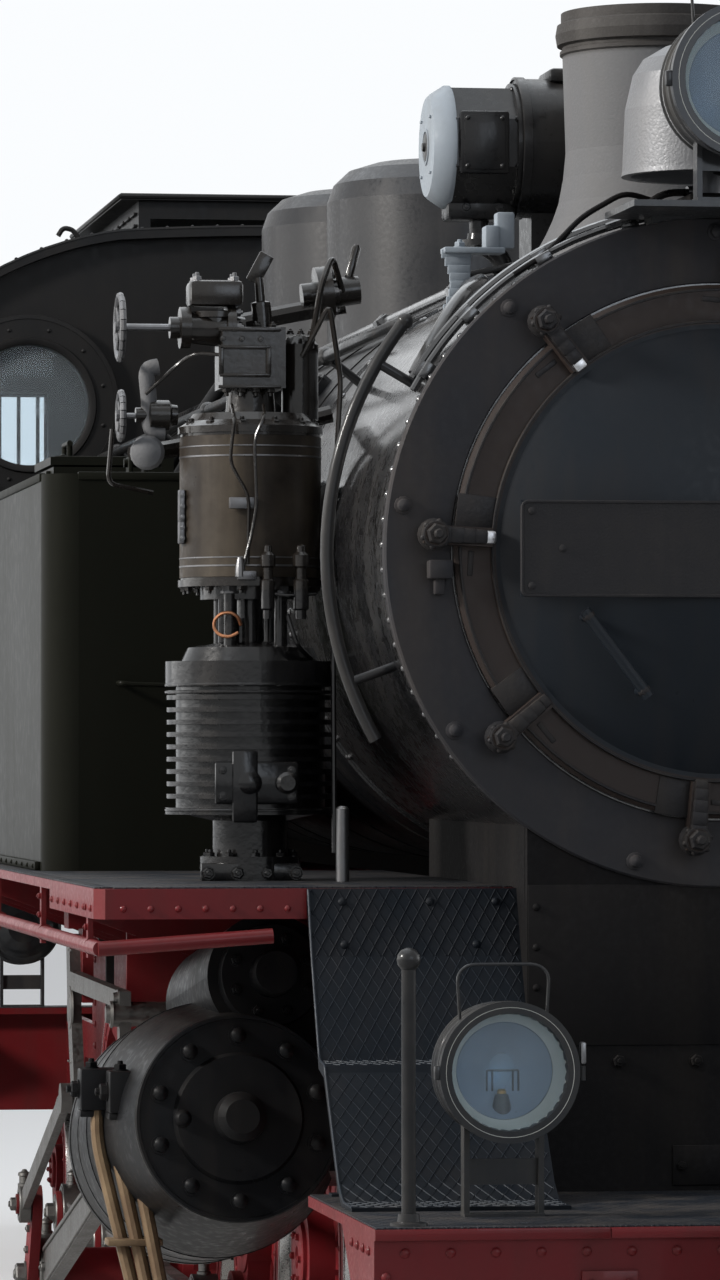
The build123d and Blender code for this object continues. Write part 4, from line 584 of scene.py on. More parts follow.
bm, drains = bmesh.new(), bmesh.new()
for side in (-1, 1):
    for along, radius in ((3.02, 0.3125), (3.20, 0.3115), (3.415, 0.3125)):
        x, z = on_slope(along, 0)
        spun(bm, [(-0.018, radius - 0.006), (-0.016, radius), (0.016, radius), (0.018, radius - 0.006)],
             (x, side * cylinder_y, z), along_axis, 64)
    for c, s in circle(10, 0.5):
        spun(bm, [(-0.002, 0.024), (0.006, 0.024), (0.006, 0.019), (0.020, 0.018), (0.028, 0.010), (0.030, 0)],
             round_slope(3.916, side * cylinder_y, 0.195, c, s), along_axis, 10)
    x, z = on_slope(3.916, 0)
    spun(bm, [(-0.002, 0.246), (0.004, 0.243), (0.004, 0.236), (-0.002, 0.234)], (x, side * cylinder_y, z),
         along_axis, 64, False)
    x, z = on_slope(3.932, 0)
    spun(bm, [(-0.002, 0.022), (0.010, 0.020), (0.018, 0.012), (0.020, 0)], (x, side * (cylinder_y + 0.135), z),
         along_axis, 12)
    for c, s in circle(16, 11 / 22.5):
        x, y, z = round_slope(2.98, side * cylinder_y, 0.245, c, s)
        nut(bm, (x, y, z - 0.045), (-along_axis[0], 0, -along_axis[2]), 0.014)
    for c, s in circle(8, 0.5):
        nut(bm, round_slope(3.83, side * valve_y, 0.092, c, s, valve_up), along_axis, 0.012)
    # Cock blocks with their flanges on the flank, and three drain pipes running down and forward
    for x0, y0, y1 in ((3.50, 1.205, 1.318), (3.625, 1.165, 1.262)):
        slab(bm, (x0, side * y0, 0.978), (x0 + 0.085, side * y1, 1.078), 0.006)
        slab(bm, (x0 + 0.010, side * y0, 0.962), (x0 + 0.075, side * y1, 0.978), 0.003)
        nut(bm, (x0 + 0.042, side * y1, 1.028), (0, side, 0), 0.018)
        nut(bm, (x0 + 0.042, side * (y1 - 0.03), 1.078), Z, 0.014)
    for k in range(3):
        top, foot = side * (1.276 - 0.040 * k), side * (1.186 - 0.030 * k)
        bent_tube(drains, [(3.56 + 0.03 * k, top, 0.985), (3.57 + 0.03 * k, top, 0.90), (3.66 + 0.03 * k, foot, 0.50),
                           (3.72 + 0.03 * k, foot, 0.36)], 0.0165, 0.05)
    slab(drains, (3.60, side * 1.262, 0.66), (3.68, side * 1.130, 0.676), 0.003)
piece("cylinder_bolts", bm, black_enamel)
pipe_brown = finish("pipe_brown", (0.115, 0.075, 0.045), (0.30, 0.22, 0.13), 0.42, metal=0.35, scale=11.0, dust=0.7,
                    grain=110, bump=0.3, streaks=0.5)
piece("drain_pipes", drains, pipe_brown)

# Running boards: a red edge with its clamps and conduit, countersunk screws along the valance, and
# dark chequered tread plates laid on top.
bm, sheet = bmesh.new(), bmesh.new()
for side in (-1, 1):
    for k in range(2):
        x0 = 2.576 + 0.985 * k
        slab(sheet, (x0, side * 0.434, 1.5290), (x0 + 0.980, side * 1.340, 1.5335), 0.001)
    slab(sheet, (-2.055, side * 1.314, 1.5290), (3.55, side * 1.381, 1.5330), 0.001)
    slab(sheet, (3.55, side * 1.340, 1.5290), (4.510, side * 1.381, 1.5335), 0.001)
    for k in range(7):
        rivet(bm, (3.56 + 0.15 * k, side * 1.385, 1.485), (0, side, 0), 0.008)
        rivet(bm, (4.56, side * (0.95 + 0.062 * k), 1.485), X, 0.008)
    for x in (-1.91, -0.612, 0.612, 2.0, 3.24, 4.35):
        for z in (1.485, 1.440):
            nut(bm, (x, side * 1.3812, z), (0, side, 0), 0.007, 0.3)
        spun(bm, [(-0.019, 0.0205), (0.019, 0.0205)], (x, side * 1.3715, 1.396), X, 20)
piece("board_screws", bm, frame_red)
piece("board_treads", sheet, tread_black)

# Front steps: bent tread plate from the boards down to the platform, dark blue-black, with raised
# crossing ribs, coarse above and finer below, worn bright, and a rolled edge.
step_paint = finish("step_paint", (0.0045, 0.0065, 0.0095), (0.026, 0.024, 0.024), 0.40, specular=0.09, scale=6.0,
                    dust=0.4, grain=90, bump=0.15)
dress(step_paint, "front_steps", "cab_steps")
rib_worn = finish("rib_worn", (0.017, 0.022, 0.029), (0.055, 0.050, 0.045), 0.35, metal=0.1, scale=8.0, dust=0.3,
                  grain=90, bump=0.1)


def plate_ribs(bm, profile, y0, y1, pitch, slant, height, width):
    """Crossing ribs over a bent plate whose outline is (x, z) points, from y0 to y1."""
    lengths = [0.0]
    for a, b in zip(profile, profile[1:]):
        lengths.append(lengths[-1] + math.hypot(b[0] - a[0], b[1] - a[1]))

    def at(y, v):
        k = max(i for i in range(len(lengths) - 1) if lengths[i] <= v + 1e-9)
        t = (v - lengths[k]) / (lengths[k + 1] - lengths[k])
        (ax, az), (bx, bz) = profile[k], profile[k + 1]
        run = Vector((bx - ax, 0, bz - az)).normalized()
        return Vector((ax + (bx - ax) * t, y, az + (bz - az) * t)), Vector((-run.z, 0, run.x))

    for way in (-1, 1):
        start = y0 - lengths[-1] * slant - pitch
        for k in range(int((y1 - y0 + 2 * lengths[-1] * slant) / pitch) + 2):
            first = start + pitch * k
            stops = sorted(set(lengths) | {v for v in ((y0 - first) / (way * slant), (y1 - first) / (way * slant))
                                           if 0 < v < lengths[-1]})
            for v0, v1 in zip(stops, stops[1:]):
                if v1 - v0 < 0.001:
                    continue
                ya, yb = first + way * slant * v0, first + way * slant * v1
                if min(ya, yb) < y0 - 1e-6 or max(ya, yb) > y1 + 1e-6:
                    continue
                (a, up), (b, _) = at(ya, v0), at(yb, v1 - 1e-7)
                if up.z < -0.01 or (up.x < 0 and up.z < 0.01):
                    up = -up
                across = (b - a).cross(up).normalized() * width / 2
                low = [bm.verts.new(p - up * 0.001 + s * across) for p in (a, b) for s in (-1, 1)]
                high = [bm.verts.new(p + up * height) for p in (a, b)]
                bm.faces.new((low[0], low[2], high[1], high[0]))
                bm.faces.new((low[1], high[0], high[1], low[3]))
                bm.faces.new((low[0], high[0], low[1]))
                bm.faces.new((low[2], low[3], high[1]))


coarse, fine, bm = bmesh.new(), bmesh.new(), bmesh.new()
for side in (-1, 1):
    y0, y1 = sorted((side * 0.436, side * 0.901))
    plate_ribs(coarse, [(4.573, 1.527), (4.634, 1.380)], y0, y1, 0.030, 0.55, 0.0022, 0.006)
    plate_ribs(fine, [(4.634, 1.380), (4.758, 1.152)], y0, y1, 0.030, 0.55, 0.0014, 0.003)
    plate_ribs(fine, [(4.762, 1.1518), (4.836, 1.1462)], y0, y1, 0.030, 0.8, 0.0016, 0.003)
    plate_ribs(fine, [(4.847, 1.128), (5.056, 0.900), (5.120, 0.864), (5.256, 0.8622)], y0, y1, 0.032, 0.62, 0.0020,
               0.0032)
    edge = side * 0.9055
    bent_tube(fine, [(4.575, edge, 1.528), (4.634, edge, 1.381), (4.758, edge, 1.153), (4.838, edge, 1.147),
                     (4.847, edge, 1.130), (5.056, edge, 0.901), (5.120, edge, 0.865), (5.258, edge, 0.862)],
              0.0028, 0.02, 6)
    for dy, z in ((0.05, 1.50), (0.20, 1.50), (0.40, 1.50), (0.10, 1.405), (0.40, 1.405)):
        rivet(bm, (4.572 + (1.53 - z) * 0.413, side * (0.430 + dy), z), (0.92, 0, 0.38), 0.010)
    for dy in (0.046, 0.419):
        nut(bm, (4.776, side * (0.436 + dy), 1.10), X, 0.009, 0.3)
        slab(bm, (4.755, side * (0.436 + dy) - 0.03, 0.850), (4.80, side * (0.436 + dy) + 0.03, 0.860), 0.002)
piece("step_ribs_upper", coarse, step_paint)
piece("step_ribs_lower", fine, rib_worn)
piece("step_rivets", bm, step_paint)
bm = bmesh.new()
for side in (-1, 1):
    for x in (-3.86, -3.32):
        for z in (0.52, 0.66, 0.97, 1.20, 1.36):
            rivet(bm, (x + (-0.005 if x < -3.6 else 0.005), side * 1.28, z), (-1 if x < -3.6 else 1, 0, 0), 0.009)
    for z in (0.462, 0.912):
        y0, y1 = sorted((side * 1.296, side * 1.075))
        plate_ribs(bm, [(-3.84, z), (-3.34, z)], y0, y1, 0.035, 0.7, 0.002, 0.004)
piece("cab_step_rivets", bm, step_paint)

# Smokebox saddle and front apron: black steel plate; the upper sheet laps over the lower one, with
# bolts in a row under the lap and down both edges.
saddle_black = finish("saddle_black", (0.0055, 0.0050, 0.0052), (0.030, 0.026, 0.022), 0.6, specular=0.10, scale=4.0,
                      dust=0.2, grain=80, bump=0.2)
dress(saddle_black, "saddle")
bm = bmesh.new()
slab(bm, (4.714, -0.429, 1.180), (4.719, 0.429, 1.540), 0.0015)
for y in (-0.40, -0.222, -0.045, 0.135, 0.31, 0.40):
    nut(bm, (4.715, y, 1.145), X, 0.013, 0.3)
for y in (-0.41, 0.41):
    for k in range(4):
        rivet(bm, (4.715, y, 0.89 + 0.07 * k), X, 0.009)
        rivet(bm, (4.719, y, 1.22 + 0.09 * k), X, 0.009)
slab(bm, (4.714, -0.10, 0.865), (4.722, 0.16, 0.955), 0.003)
for y in (-0.08, 0.14):
    nut(bm, (4.722, y, 0.91), X, 0.010, 0.3)
for side in (-1, 1):
    for k in range(9):
        nut(bm, (3.40 + 0.15 * k, side * 0.430, 1.30), (0, side, 0), 0.013, 0.3)
        rivet(bm, (3.40 + 0.15 * k, side * 0.430, 1.42), (0, side, 0), 0.010)
piece("saddle_bolts", bm, saddle_black)

# Smokebox: a rolled steel shell with a rivet row at each end, a heavy front ring with a worn edge
# and set screws round it, and conduits clipped along the shell behind the ring.
smoke_black = finish("smoke_black", (0.0075, 0.0075, 0.0085), (0.070, 0.062, 0.055), 0.15, coat=0.55, specular=0.80,
                     scale=2.6, dust=0.35, grain=40, bump=0.22, streaks=0.12, depth=0.003)
dress(smoke_black, "smokebox")
ring_iron = finish("ring_iron", (0.024, 0.024, 0.027), (0.085, 0.068, 0.055), 0.48, specular=0.14, scale=3.0,
                   dust=0.4, grain=60, bump=0.16)
boiler_mid = 2.288


def round_boiler(radius, degrees_up):
    """(y, z) at a radius from the boiler's middle; 0 is the left side, 90 the top, 180 the right side."""
    t = math.radians(degrees_up)
    return radius * math.cos(t), boiler_mid + radius * math.sin(t)


bm = bmesh.new()
for x in (4.668, 3.045, 3.085):
    for k in range(60):
        y, z = round_boiler(0.750, -38 + 256 * k / 59)
        rivet(bm, (x, y, z), (0, y, z - boiler_mid), 0.009)
for x0, x1, r in ((3.002, 3.030, 0.756), (3.066, 3.072, 0.7525)):
    spun(bm, [(0, r - 0.012), (0.001, r), (x1 - x0 - 0.001, r), (x1 - x0, r - 0.012)], (x0, 0, boiler_mid), X, 96,
         False)
piece("smokebox_rivets", bm, smoke_black)
bm = bmesh.new()
spun(bm, [(0, 0.740), (0.002, 0.7545), (0.040, 0.7555), (0.0445, 0.751), (0.0445, 0.607), (0.040, 0.602),
          (0.030, 0.602)], (4.683, 0, boiler_mid), X, 128, False)
for t in (8, 49, 90, 131, 172, 214, 255, 287, 328):
    y, z = round_boiler(0.720, t)
    spun(bm, [(-0.002, 0.021), (0.004, 0.020), (0.006, 0.015), (0.020, 0.013), (0.025, 0.006), (0.026, 0)],
         (4.7275, y, z), X, 12)
y, z = round_boiler(0.635, 184)
slab(bm, (4.7275, y - 0.027, z - 0.020), (4.772, y + 0.027, z + 0.022), 0.005)
slab(bm, (4.7275, y - 0.012, z - 0.055), (4.752, y + 0.012, z - 0.015), 0.004)
piece("smokebox_ring", bm, ring_iron)
bm = bmesh.new()
for x, r, first, last, thick in ((4.655, 0.770, 80, 152, 0.0085), (4.625, 0.780, 96, 150, 0.011)):
    steps = 15
    path = [(x, *round_boiler(r, first + (last - first) * k / steps)) for k in range(steps + 1)]
    bent_tube(bm, path, thick, 0.02, 8)
    for t in (104, 120, 136, 148):
        y, z = round_boiler(r - 0.006, t)
        slab(bm, (x - 0.014, y - 0.020, z - 0.012), (x + 0.014, y + 0.020, z + 0.012), 0.003, turn=(X, t - 90))
bent_tube(bm, [(4.640, -0.035, 3.105), (4.668, -0.115, 3.100), (4.672, -0.175, 3.045),
               (4.662, *round_boiler(0.772, 108))], 0.0085, 0.06, 8)
spun(bm, [(0, 0.017), (0.020, 0.019), (0.034, 0.014), (0.050, 0.012)], (4.640, -0.002, 3.106), (0.2, -1, 0), 12)
# The pipe that runs back along the boiler, with its unions
bent_tube(bm, [(4.50, *round_boiler(0.766, 148)), (4.46, *round_boiler(0.800, 133)), (4.30, -0.454, 2.930),
               (2.62, -0.454, 2.930), (2.2, -0.454, 2.930), (-2.00, -0.454, 2.930)], 0.018, 0.10, 12)
for x in (3.9, 2.75, 1.2, -0.9):
    spun(bm, [(-0.03, 0.022), (-0.028, 0.028), (0.028, 0.028), (0.03, 0.022)], (x, -0.454, 2.930), X, 6)
    slab(bm, (x + 0.06, -0.470, 2.878), (x + 0.085, -0.438, 2.952), 0.003, turn=(X, 35))
piece("smokebox_conduits", bm, smoke_black)

# Smokebox door: pressed steel in faded black, brownish on the flat band, and on the dish black with a blue tint
# that is a painted sky reflection; held by seven clamps, each beside its bearing pad, two of them worn bright at the
# tips.
# The dish's clean colour is black with a painted blue sky reflection in it; the brownish colour of the band is the
# paint's own.
door_black_and_sky_tint = finish("door_black_and_sky_tint", (0.0085, 0.0115, 0.0155), (0.032, 0.026, 0.022), 0.34, specular=0.16, scale=1.9,
                    dust=0.3,
                    grain=50, bump=0.12, zone=((4.73, 0, boiler_mid), (0, 1, 1), 0.508, 0.512, (0.030, 0.022, 0.019)))
dress(door_black_and_sky_tint, "smokebox_door")
clamp_iron = finish("clamp_iron", (0.018, 0.017, 0.018), (0.080, 0.066, 0.052), 0.40, metal=0.2, scale=9.0, dust=0.5,
                    grain=120, bump=0.35)
bright_steel = finish("bright_steel", (0.50, 0.50, 0.51), (0.09, 0.075, 0.06), 0.28, metal=1.0, scale=9.0, dust=0.35,
                      grain=140, bump=0.08)
bm, worn = bmesh.new(), bmesh.new()
for t in (85, 128, 177, 220, 265, 310, 50):
    y, z = round_boiler(0.650, t)
    spun(bm, [(0, 0.036), (0.012, 0.037), (0.016, 0.030), (0.050, 0.030), (0.054, 0.024)], (4.752, y, z), X, 16)
    nut(bm, (4.800, y, z), X, 0.022, 0.9)
    for c, s in circle(6, 0.25):
        rivet(bm, (4.794, y + 0.030 * c, z + 0.030 * s), (1, c, s), 0.007)
    # The finger tapers in from the stud to the door, rounded on top
    for r, half, thick in ((0.628, 0.019, 0.014), (0.602, 0.018, 0.016), (0.576, 0.017, 0.015),
                           (0.550, 0.016, 0.013)):
        py, pz = round_boiler(r, t)
        slab(bm, (4.782, py - 0.017, pz - half), (4.786 + thick, py + 0.017, pz + half), 0.006, turn=(X, t))
    py, pz = round_boiler(0.527, t)
    slab(worn if t in (128, 177) else bm, (4.772, py - 0.014, pz - 0.015), (4.7925, py + 0.014, pz + 0.015), 0.006,
         turn=(X, t))
    py, pz = round_boiler(0.553, t - 5.5)
    slab(bm, (4.750, py - 0.050, pz - 0.040), (4.7555, py + 0.050, pz + 0.040), 0.002, turn=(X, t - 4))
    py, pz = round_boiler(0.566, t + 6.0)
    slab(bm, (4.750, py - 0.028, pz - 0.006), (4.7545, py + 0.028, pz + 0.006), 0.002, turn=(X, t + 90))
for r, x in ((0.588, 4.7525), (0.516, 4.7640)):
    spun(bm, [(-0.003, r - 0.004), (0.0025, r - 0.002), (0.0025, r + 0.002), (-0.003, r + 0.004)], (x, 0, boiler_mid),
         X, 128, False)
for rise in (-0.25, 0.25):
    for y in (0.33, 0.44, 0.55):
        nut(bm, (4.789, y, boiler_mid + rise), X, 0.014, 0.3)
for y, z in ((-0.320, 2.138), (-0.195, 1.973)):
    spun(bm, [(0, 0.026), (0.006, 0.024), (0.010, 0.014)], (4.762, y, z), X, 16)
    spun(bm, [(-0.014, 0.0), (-0.012, 0.009), (0.0, 0.0155), (0.012, 0.009), (0.014, 0)], (4.880, y, z), X, 12)
piece("door_clamps", bm, clamp_iron, body="smokebox_door")
piece("door_clamp_tips", worn, bright_steel, body="smokebox_door")

# The blank plate on the door: cast iron, dark grey, with a raised rim, rounded corners and six screws.
plate_iron = finish("plate_iron", (0.017, 0.016, 0.017), (0.062, 0.056, 0.050), 0.45, scale=8.0, dust=0.4, grain=200,
                    bump=0.5)
bm = bmesh.new()
half, tall, corner = 0.474, 0.107, 0.016
rim = []
for cy, cz, first in ((half - corner, tall - corner, 0), (-half + corner, tall - corner, 90),
                      (-half + corner, -tall + corner, 180), (half - corner, -tall + corner, 270)):
    for k in range(7):
        t = math.radians(first + 15 * k)
        rim.append((cy, cz, math.cos(t), math.sin(t)))
loops = []
for x, r in ((4.8795, corner + 0.0005), (4.8905, corner + 0.0005), (4.8920, corner - 0.001), (4.8920, corner - 0.005),
             (4.8892, corner - 0.007)):
    loops.append([bm.verts.new((x, cy + r * c, boiler_mid + cz + r * s)) for cy, cz, c, s in rim])
for a, b in zip(loops, loops[1:]):
    for k in range(len(rim)):
        bm.faces.new((a[k], a[(k + 1) % len(rim)], b[(k + 1) % len(rim)], b[k]))
bm.faces.new(loops[0])
bm.faces.new(loops[-1])
for y in (-0.450, -0.38, 0.0, 0.38, 0.450):
    for z in ((-0.083, 0.083) if abs(y) > 0.4 else (0.0,)):
        spun(bm, [(-0.001, 0.009), (0.002, 0.009), (0.004, 0.006), (0.0045, 0)], (4.8892, y, boiler_mid + z), X, 12)
piece("blank_plate", bm, plate_iron, body="smokebox_door")

# Boiler: a riveted barrel under sheet steel lagging in black, held by bands with a tension screw
# each, with a feed check valve on either flank.
dress(black_enamel, "boiler")
bm = bmesh.new()
for x in (2.66, 2.02, 1.42, 0.36, -0.02, -0.86, -1.30, -1.86):
    spun(bm, [(-0.026, 0.746), (-0.025, 0.7535), (0.025, 0.7535), (0.026, 0.746)], (x, 0, boiler_mid), X, 96, False)
    for side in (-1, 1):
        y, z = round_boiler(0.756, 90 - side * 62)
        slab(bm, (x - 0.016, y - 0.030, z - 0.010), (x + 0.016, y + 0.030, z + 0.010), 0.003, turn=(X, side * -62))
for side in (-1, 1):
    y, z = round_boiler(0.75, 90 - side * 52)
    out = (0, math.cos(math.radians(90 - side * 52)), math.sin(math.radians(90 - side * 52)))
    spun(bm, [(-0.02, 0.085), (0.02, 0.085), (0.022, 0.055), (0.10, 0.050), (0.105, 0.062), (0.125, 0.062),
              (0.13, 0.03), (0.16, 0.03), (0.165, 0)], (2.35, y, z), out, 20)
    for c, s in circle(6):
        foot = Vector((2.35, y, z)) + Vector(out) * 0.02 + (Vector(X) * c + Vector(out).cross(Vector(X)) * s) * 0.068
        nut(bm, foot, out, 0.010, 0.3)
    bent_tube(bm, [(2.35, y + out[1] * 0.07, z + out[2] * 0.07), (2.20, y + out[1] * 0.075, z + out[2] * 0.075),
                   (2.05, y + side * 0.04, z - 0.05), (2.02, side * 0.80, 2.58)], 0.026, 0.08, 12)
piece("boiler_bands", bm, black_enamel)

# Chimney: cast iron baked to a matt grey, its flared foot bolted down through the smokebox, with a
# rolled cap.
baked_iron = finish("baked_iron", (0.105, 0.105, 0.108), (0.165, 0.155, 0.145), 0.60, scale=4.0, dust=0.4, grain=170,
                    bump=0.4, depth=0.002, specular=0.3, zone=((0, 0, 0), Z, 3.468, 3.480, (0.022, 0.019, 0.017)))
dress(baked_iron, "chimney")
bm = bmesh.new()
for c, s in circle(18, 0.5):
    y = 0.292 * s
    up = math.sqrt(0.75 ** 2 - y ** 2)
    rivet(bm, (4.06 + 0.292 * c, y, boiler_mid + up + 0.002), (0, y / 0.75, up / 0.75), 0.012)
spun(bm, [(0, 0.226), (0.004, 0.2325), (0.012, 0.2325), (0.016, 0.226)], (4.06, 0, 3.476), Z, 64, False)
piece("chimney_bands", bm, baked_iron)

# Bell: cast, painted grey and pitted, hung on its post under a capped nut, with the clapper inside
# and the striker's small gear box and flange on the smokebox.
bell_grey = finish("bell_grey", (0.150, 0.152, 0.158), (0.210, 0.200, 0.190), 0.38, metal=0.4, scale=5.0, dust=0.35,
                   grain=150, bump=0.6, depth=0.002)
dress(bell_grey, "bell")
bm = bmesh.new()
spun(bm, [(0, 0.060), (0.010, 0.062), (0.016, 0.040), (0.020, 0)], (4.640, 0, 3.446), Z, 24)
nut(bm, (4.640, 0, 3.462), Z, 0.020, 0.4)
spun(bm, [(0, 0.110), (0.014, 0.110), (0.016, 0.060), (0.040, 0.050), (0.044, 0.036)], (4.640, 0, 3.036), Z, 24)
for c, s in circle(6, 0.9 / math.pi):
    nut(bm, (4.640 + 0.085 * c, 0.085 * s, 3.050), Z, 0.010, 0.4)
slab(bm, (4.560, -0.060, 3.042), (4.720, 0.050, 3.098), 0.010)
spun(bm, [(0, 0.010), (0.10, 0.010), (0.11, 0.026), (0.135, 0.032), (0.160, 0.026), (0.168, 0)], (4.725, 0.02, 3.300),
     (0, 0.0, -1), 12)
bent_tube(bm, [(4.600, -0.055, 3.070), (4.600, -0.185, 3.107), (4.620, -0.287, 3.048), (4.640, -0.343, 2.992),
               (4.660, -0.380, 2.958), (4.660, -0.450, 2.912)], 0.0065, 0.03, 8)
piece("bell_fittings", bm, saddle_black)

# Turbine generator: an iron casting in gloss black, with a bolted cover on its end casing, ribs and
# a flange ring, pipe stubs below, and a bent sheet bracket beside it.
gloss_black = finish("gloss_black", (0.0070, 0.0072, 0.0080), (0.050, 0.044, 0.038), 0.20, coat=0.1, specular=0.22,
                     scale=4.0, dust=0.35, grain=60, bump=0.12)
dress(gloss_black, "turbo_generator")
drum_x, drum_z = 3.645, 3.298
bm = bmesh.new()
slab(bm, (3.776, -0.430, 3.222), (3.797, -0.310, 3.373), 0.007)
slab(bm, (3.796, -0.420, 3.232), (3.801, -0.320, 3.363), 0.002)
for y in (-0.412, -0.328):
    for z in (3.240, 3.355):
        rivet(bm, (3.800, y, z), X, 0.006)
for c, s in circle(8, 0.5):
    rivet(bm, (drum_x + 0.147 * c, -0.288, drum_z + 0.147 * s), (0, -1, 0), 0.009)
    rivet(bm, (drum_x + 0.088 * c, -0.4765, drum_z + 0.088 * s), (0, -1, 0), 0.006)
for y, r, w in ((-0.266, 0.170, 0.012), (-0.150, 0.1705, 0.006), (-0.030, 0.1705, 0.014)):
    spun(bm, [(-w, r - 0.004), (-w + 0.002, r + 0.002), (w - 0.002, r + 0.002), (w, r - 0.004)], (drum_x, y, drum_z),
         Y, 64, False)
spun(bm, [(0, 0.034), (0.004, 0.034), (0.006, 0.026), (0.006, 0.012), (0.012, 0.010), (0.012, 0)],
     (drum_x, -0.4870, drum_z), (0, -1, 0), 24)
slab(bm, (3.56, -0.20, 3.452), (3.73, -0.02, 3.486), 0.010)
slab(bm, (3.600, -0.445, 3.120), (3.700, -0.276, 3.183), 0.010)
bent_tube(bm, [(3.650, -0.36, 3.14), (3.650, -0.36, 3.07), (3.650, -0.30, 3.03), (3.650, -0.30, 2.96)], 0.024, 0.05,
          12)
spun(bm, [(0, 0.045), (0.014, 0.045), (0.016, 0.030), (0.030, 0.028)], (3.650, -0.36, 3.060), Z, 16)
for y in (-0.40, -0.32):
    nut(bm, (3.700, y, 3.150), X, 0.010, 0.4)
slab(bm, (3.590, -0.400, 2.995), (3.720, -0.235, 3.010), 0.003, turn=(X, 12))
piece("generator_details", bm, gloss_black)
bracket_grey = finish("bracket_grey", (0.24, 0.27, 0.30), (0.16, 0.15, 0.14), 0.42, scale=9.0, dust=0.4,
                      grain=100, bump=0.25)
bm = bmesh.new()
spun(bm, [(0, 0.149), (0.012, 0.149), (0.044, 0.128), (0.052, 0.120), (0.053, 0)], (drum_x, -0.436, drum_z),
     (0, -1, 0), 48)
spun(bm, [(0, 0.045), (0.003, 0.044), (0.003, 0.038), (0, 0.037)], (drum_x, -0.489, drum_z), (0, -1, 0), 32, False)
for c, s in circle(4, 0.5):
    x, z = drum_x + 0.095 * c, drum_z + 0.095 * s
    slab(bm, (x - 0.008, -0.493, z - 0.003), (x + 0.008, -0.487, z + 0.003), 0.001)
for k in range(8):
    t = k / 7
    x = 4.045 + 0.012 * math.sin(math.pi * (t - 0.5))
    slab(bm, (x - 0.005, -0.514 + 0.018 * math.sin(math.pi * t), 2.998 - 0.132 * t),
         (x + 0.005, -0.443 - 0.010 * t, 3.020 - 0.132 * t), 0.002)
slab(bm, (3.990, -0.510, 3.010), (4.055, -0.365, 3.024), 0.003)
slab(bm, (3.995, -0.412, 3.022), (4.050, -0.378, 3.076), 0.005)
slab(bm, (4.000, -0.384, 3.022), (4.045, -0.341, 3.108), 0.005)
nut(bm, (4.03, -0.470, 3.024), Z, 0.012, 0.4)
piece("pipe_bracket", bm, bracket_grey)

# Domes and safety valves: pressed steel cladding, welded smooth, over the steam and sand domes, with
# a seating flange and a cap on top; two spring valves and a whistle stand behind them.
dome_enamel = finish("dome_enamel", (0.011, 0.011, 0.0125), (0.075, 0.068, 0.062), 0.30, coat=0.08, specular=0.3,
                     scale=4.0, dust=0.35, grain=90, bump=0.12)
dress(dome_enamel, "domes")
bm = bmesh.new()
for x, top in ((1.0, 3.520), (-0.42, 3.565)):
    for k in range(96):
        ring = []
        for t in (2 * math.pi * k / 96, 2 * math.pi * (k + 1) / 96):
            for r, lift in ((0.350, 0.030), (0.372, 0.004), (0.372, -0.012), (0.349, -0.012)):
                y = r * math.sin(t)
                ring.append(bm.verts.new((x + r * math.cos(t), y, boiler_mid + math.sqrt(0.75 ** 2 - y ** 2) + lift)))
        for m in range(3):
            bm.faces.new((ring[m], ring[m + 1], ring[m + 5], ring[m + 4]))
    spun(bm, [(-0.004, 0.050), (0.006, 0.050), (0.010, 0.040), (0.012, 0)], (x, 0, top), Z, 24)
bmesh.ops.remove_doubles(bm, verts=bm.verts, dist=1e-5)
for side in (-1, 1):
    bent_tube(bm, [(-0.42, side * 0.33, 3.16), (-0.42, side * 0.44, 3.02), (-0.30, side * 0.60, 2.80),
                   (-0.30, side * 0.745, 2.56)], 0.022, 0.12, 12)
for y in (-0.11, 0.11):
    spun(bm, [(0, 0.062), (0.02, 0.062), (0.022, 0.050)], (-1.5, y, 3.03), Z, 20)
    for k in range(5):
        spun(bm, [(-0.006, 0.052), (0, 0.056), (0.006, 0.052)], (-1.5, y, 3.09 + 0.025 * k), Z, 24)
    spun(bm, [(0, 0.040), (0.010, 0.042), (0.014, 0.020), (0.030, 0.016), (0.032, 0)], (-1.5, y, 3.277), Z, 6)
slab(bm, (-1.518, -0.15, 3.215), (-1.482, 0.15, 3.227), 0.003)
spun(bm, [(0, 0.016), (0.16, 0.016), (0.16, 0.024), (0.18, 0.024), (0.19, 0.034), (0.30, 0.034), (0.31, 0.026),
          (0.33, 0.012), (0.345, 0)], (-1.85, -0.30, 2.97), Z, 20)
piece("dome_fittings", bm, black_enamel)
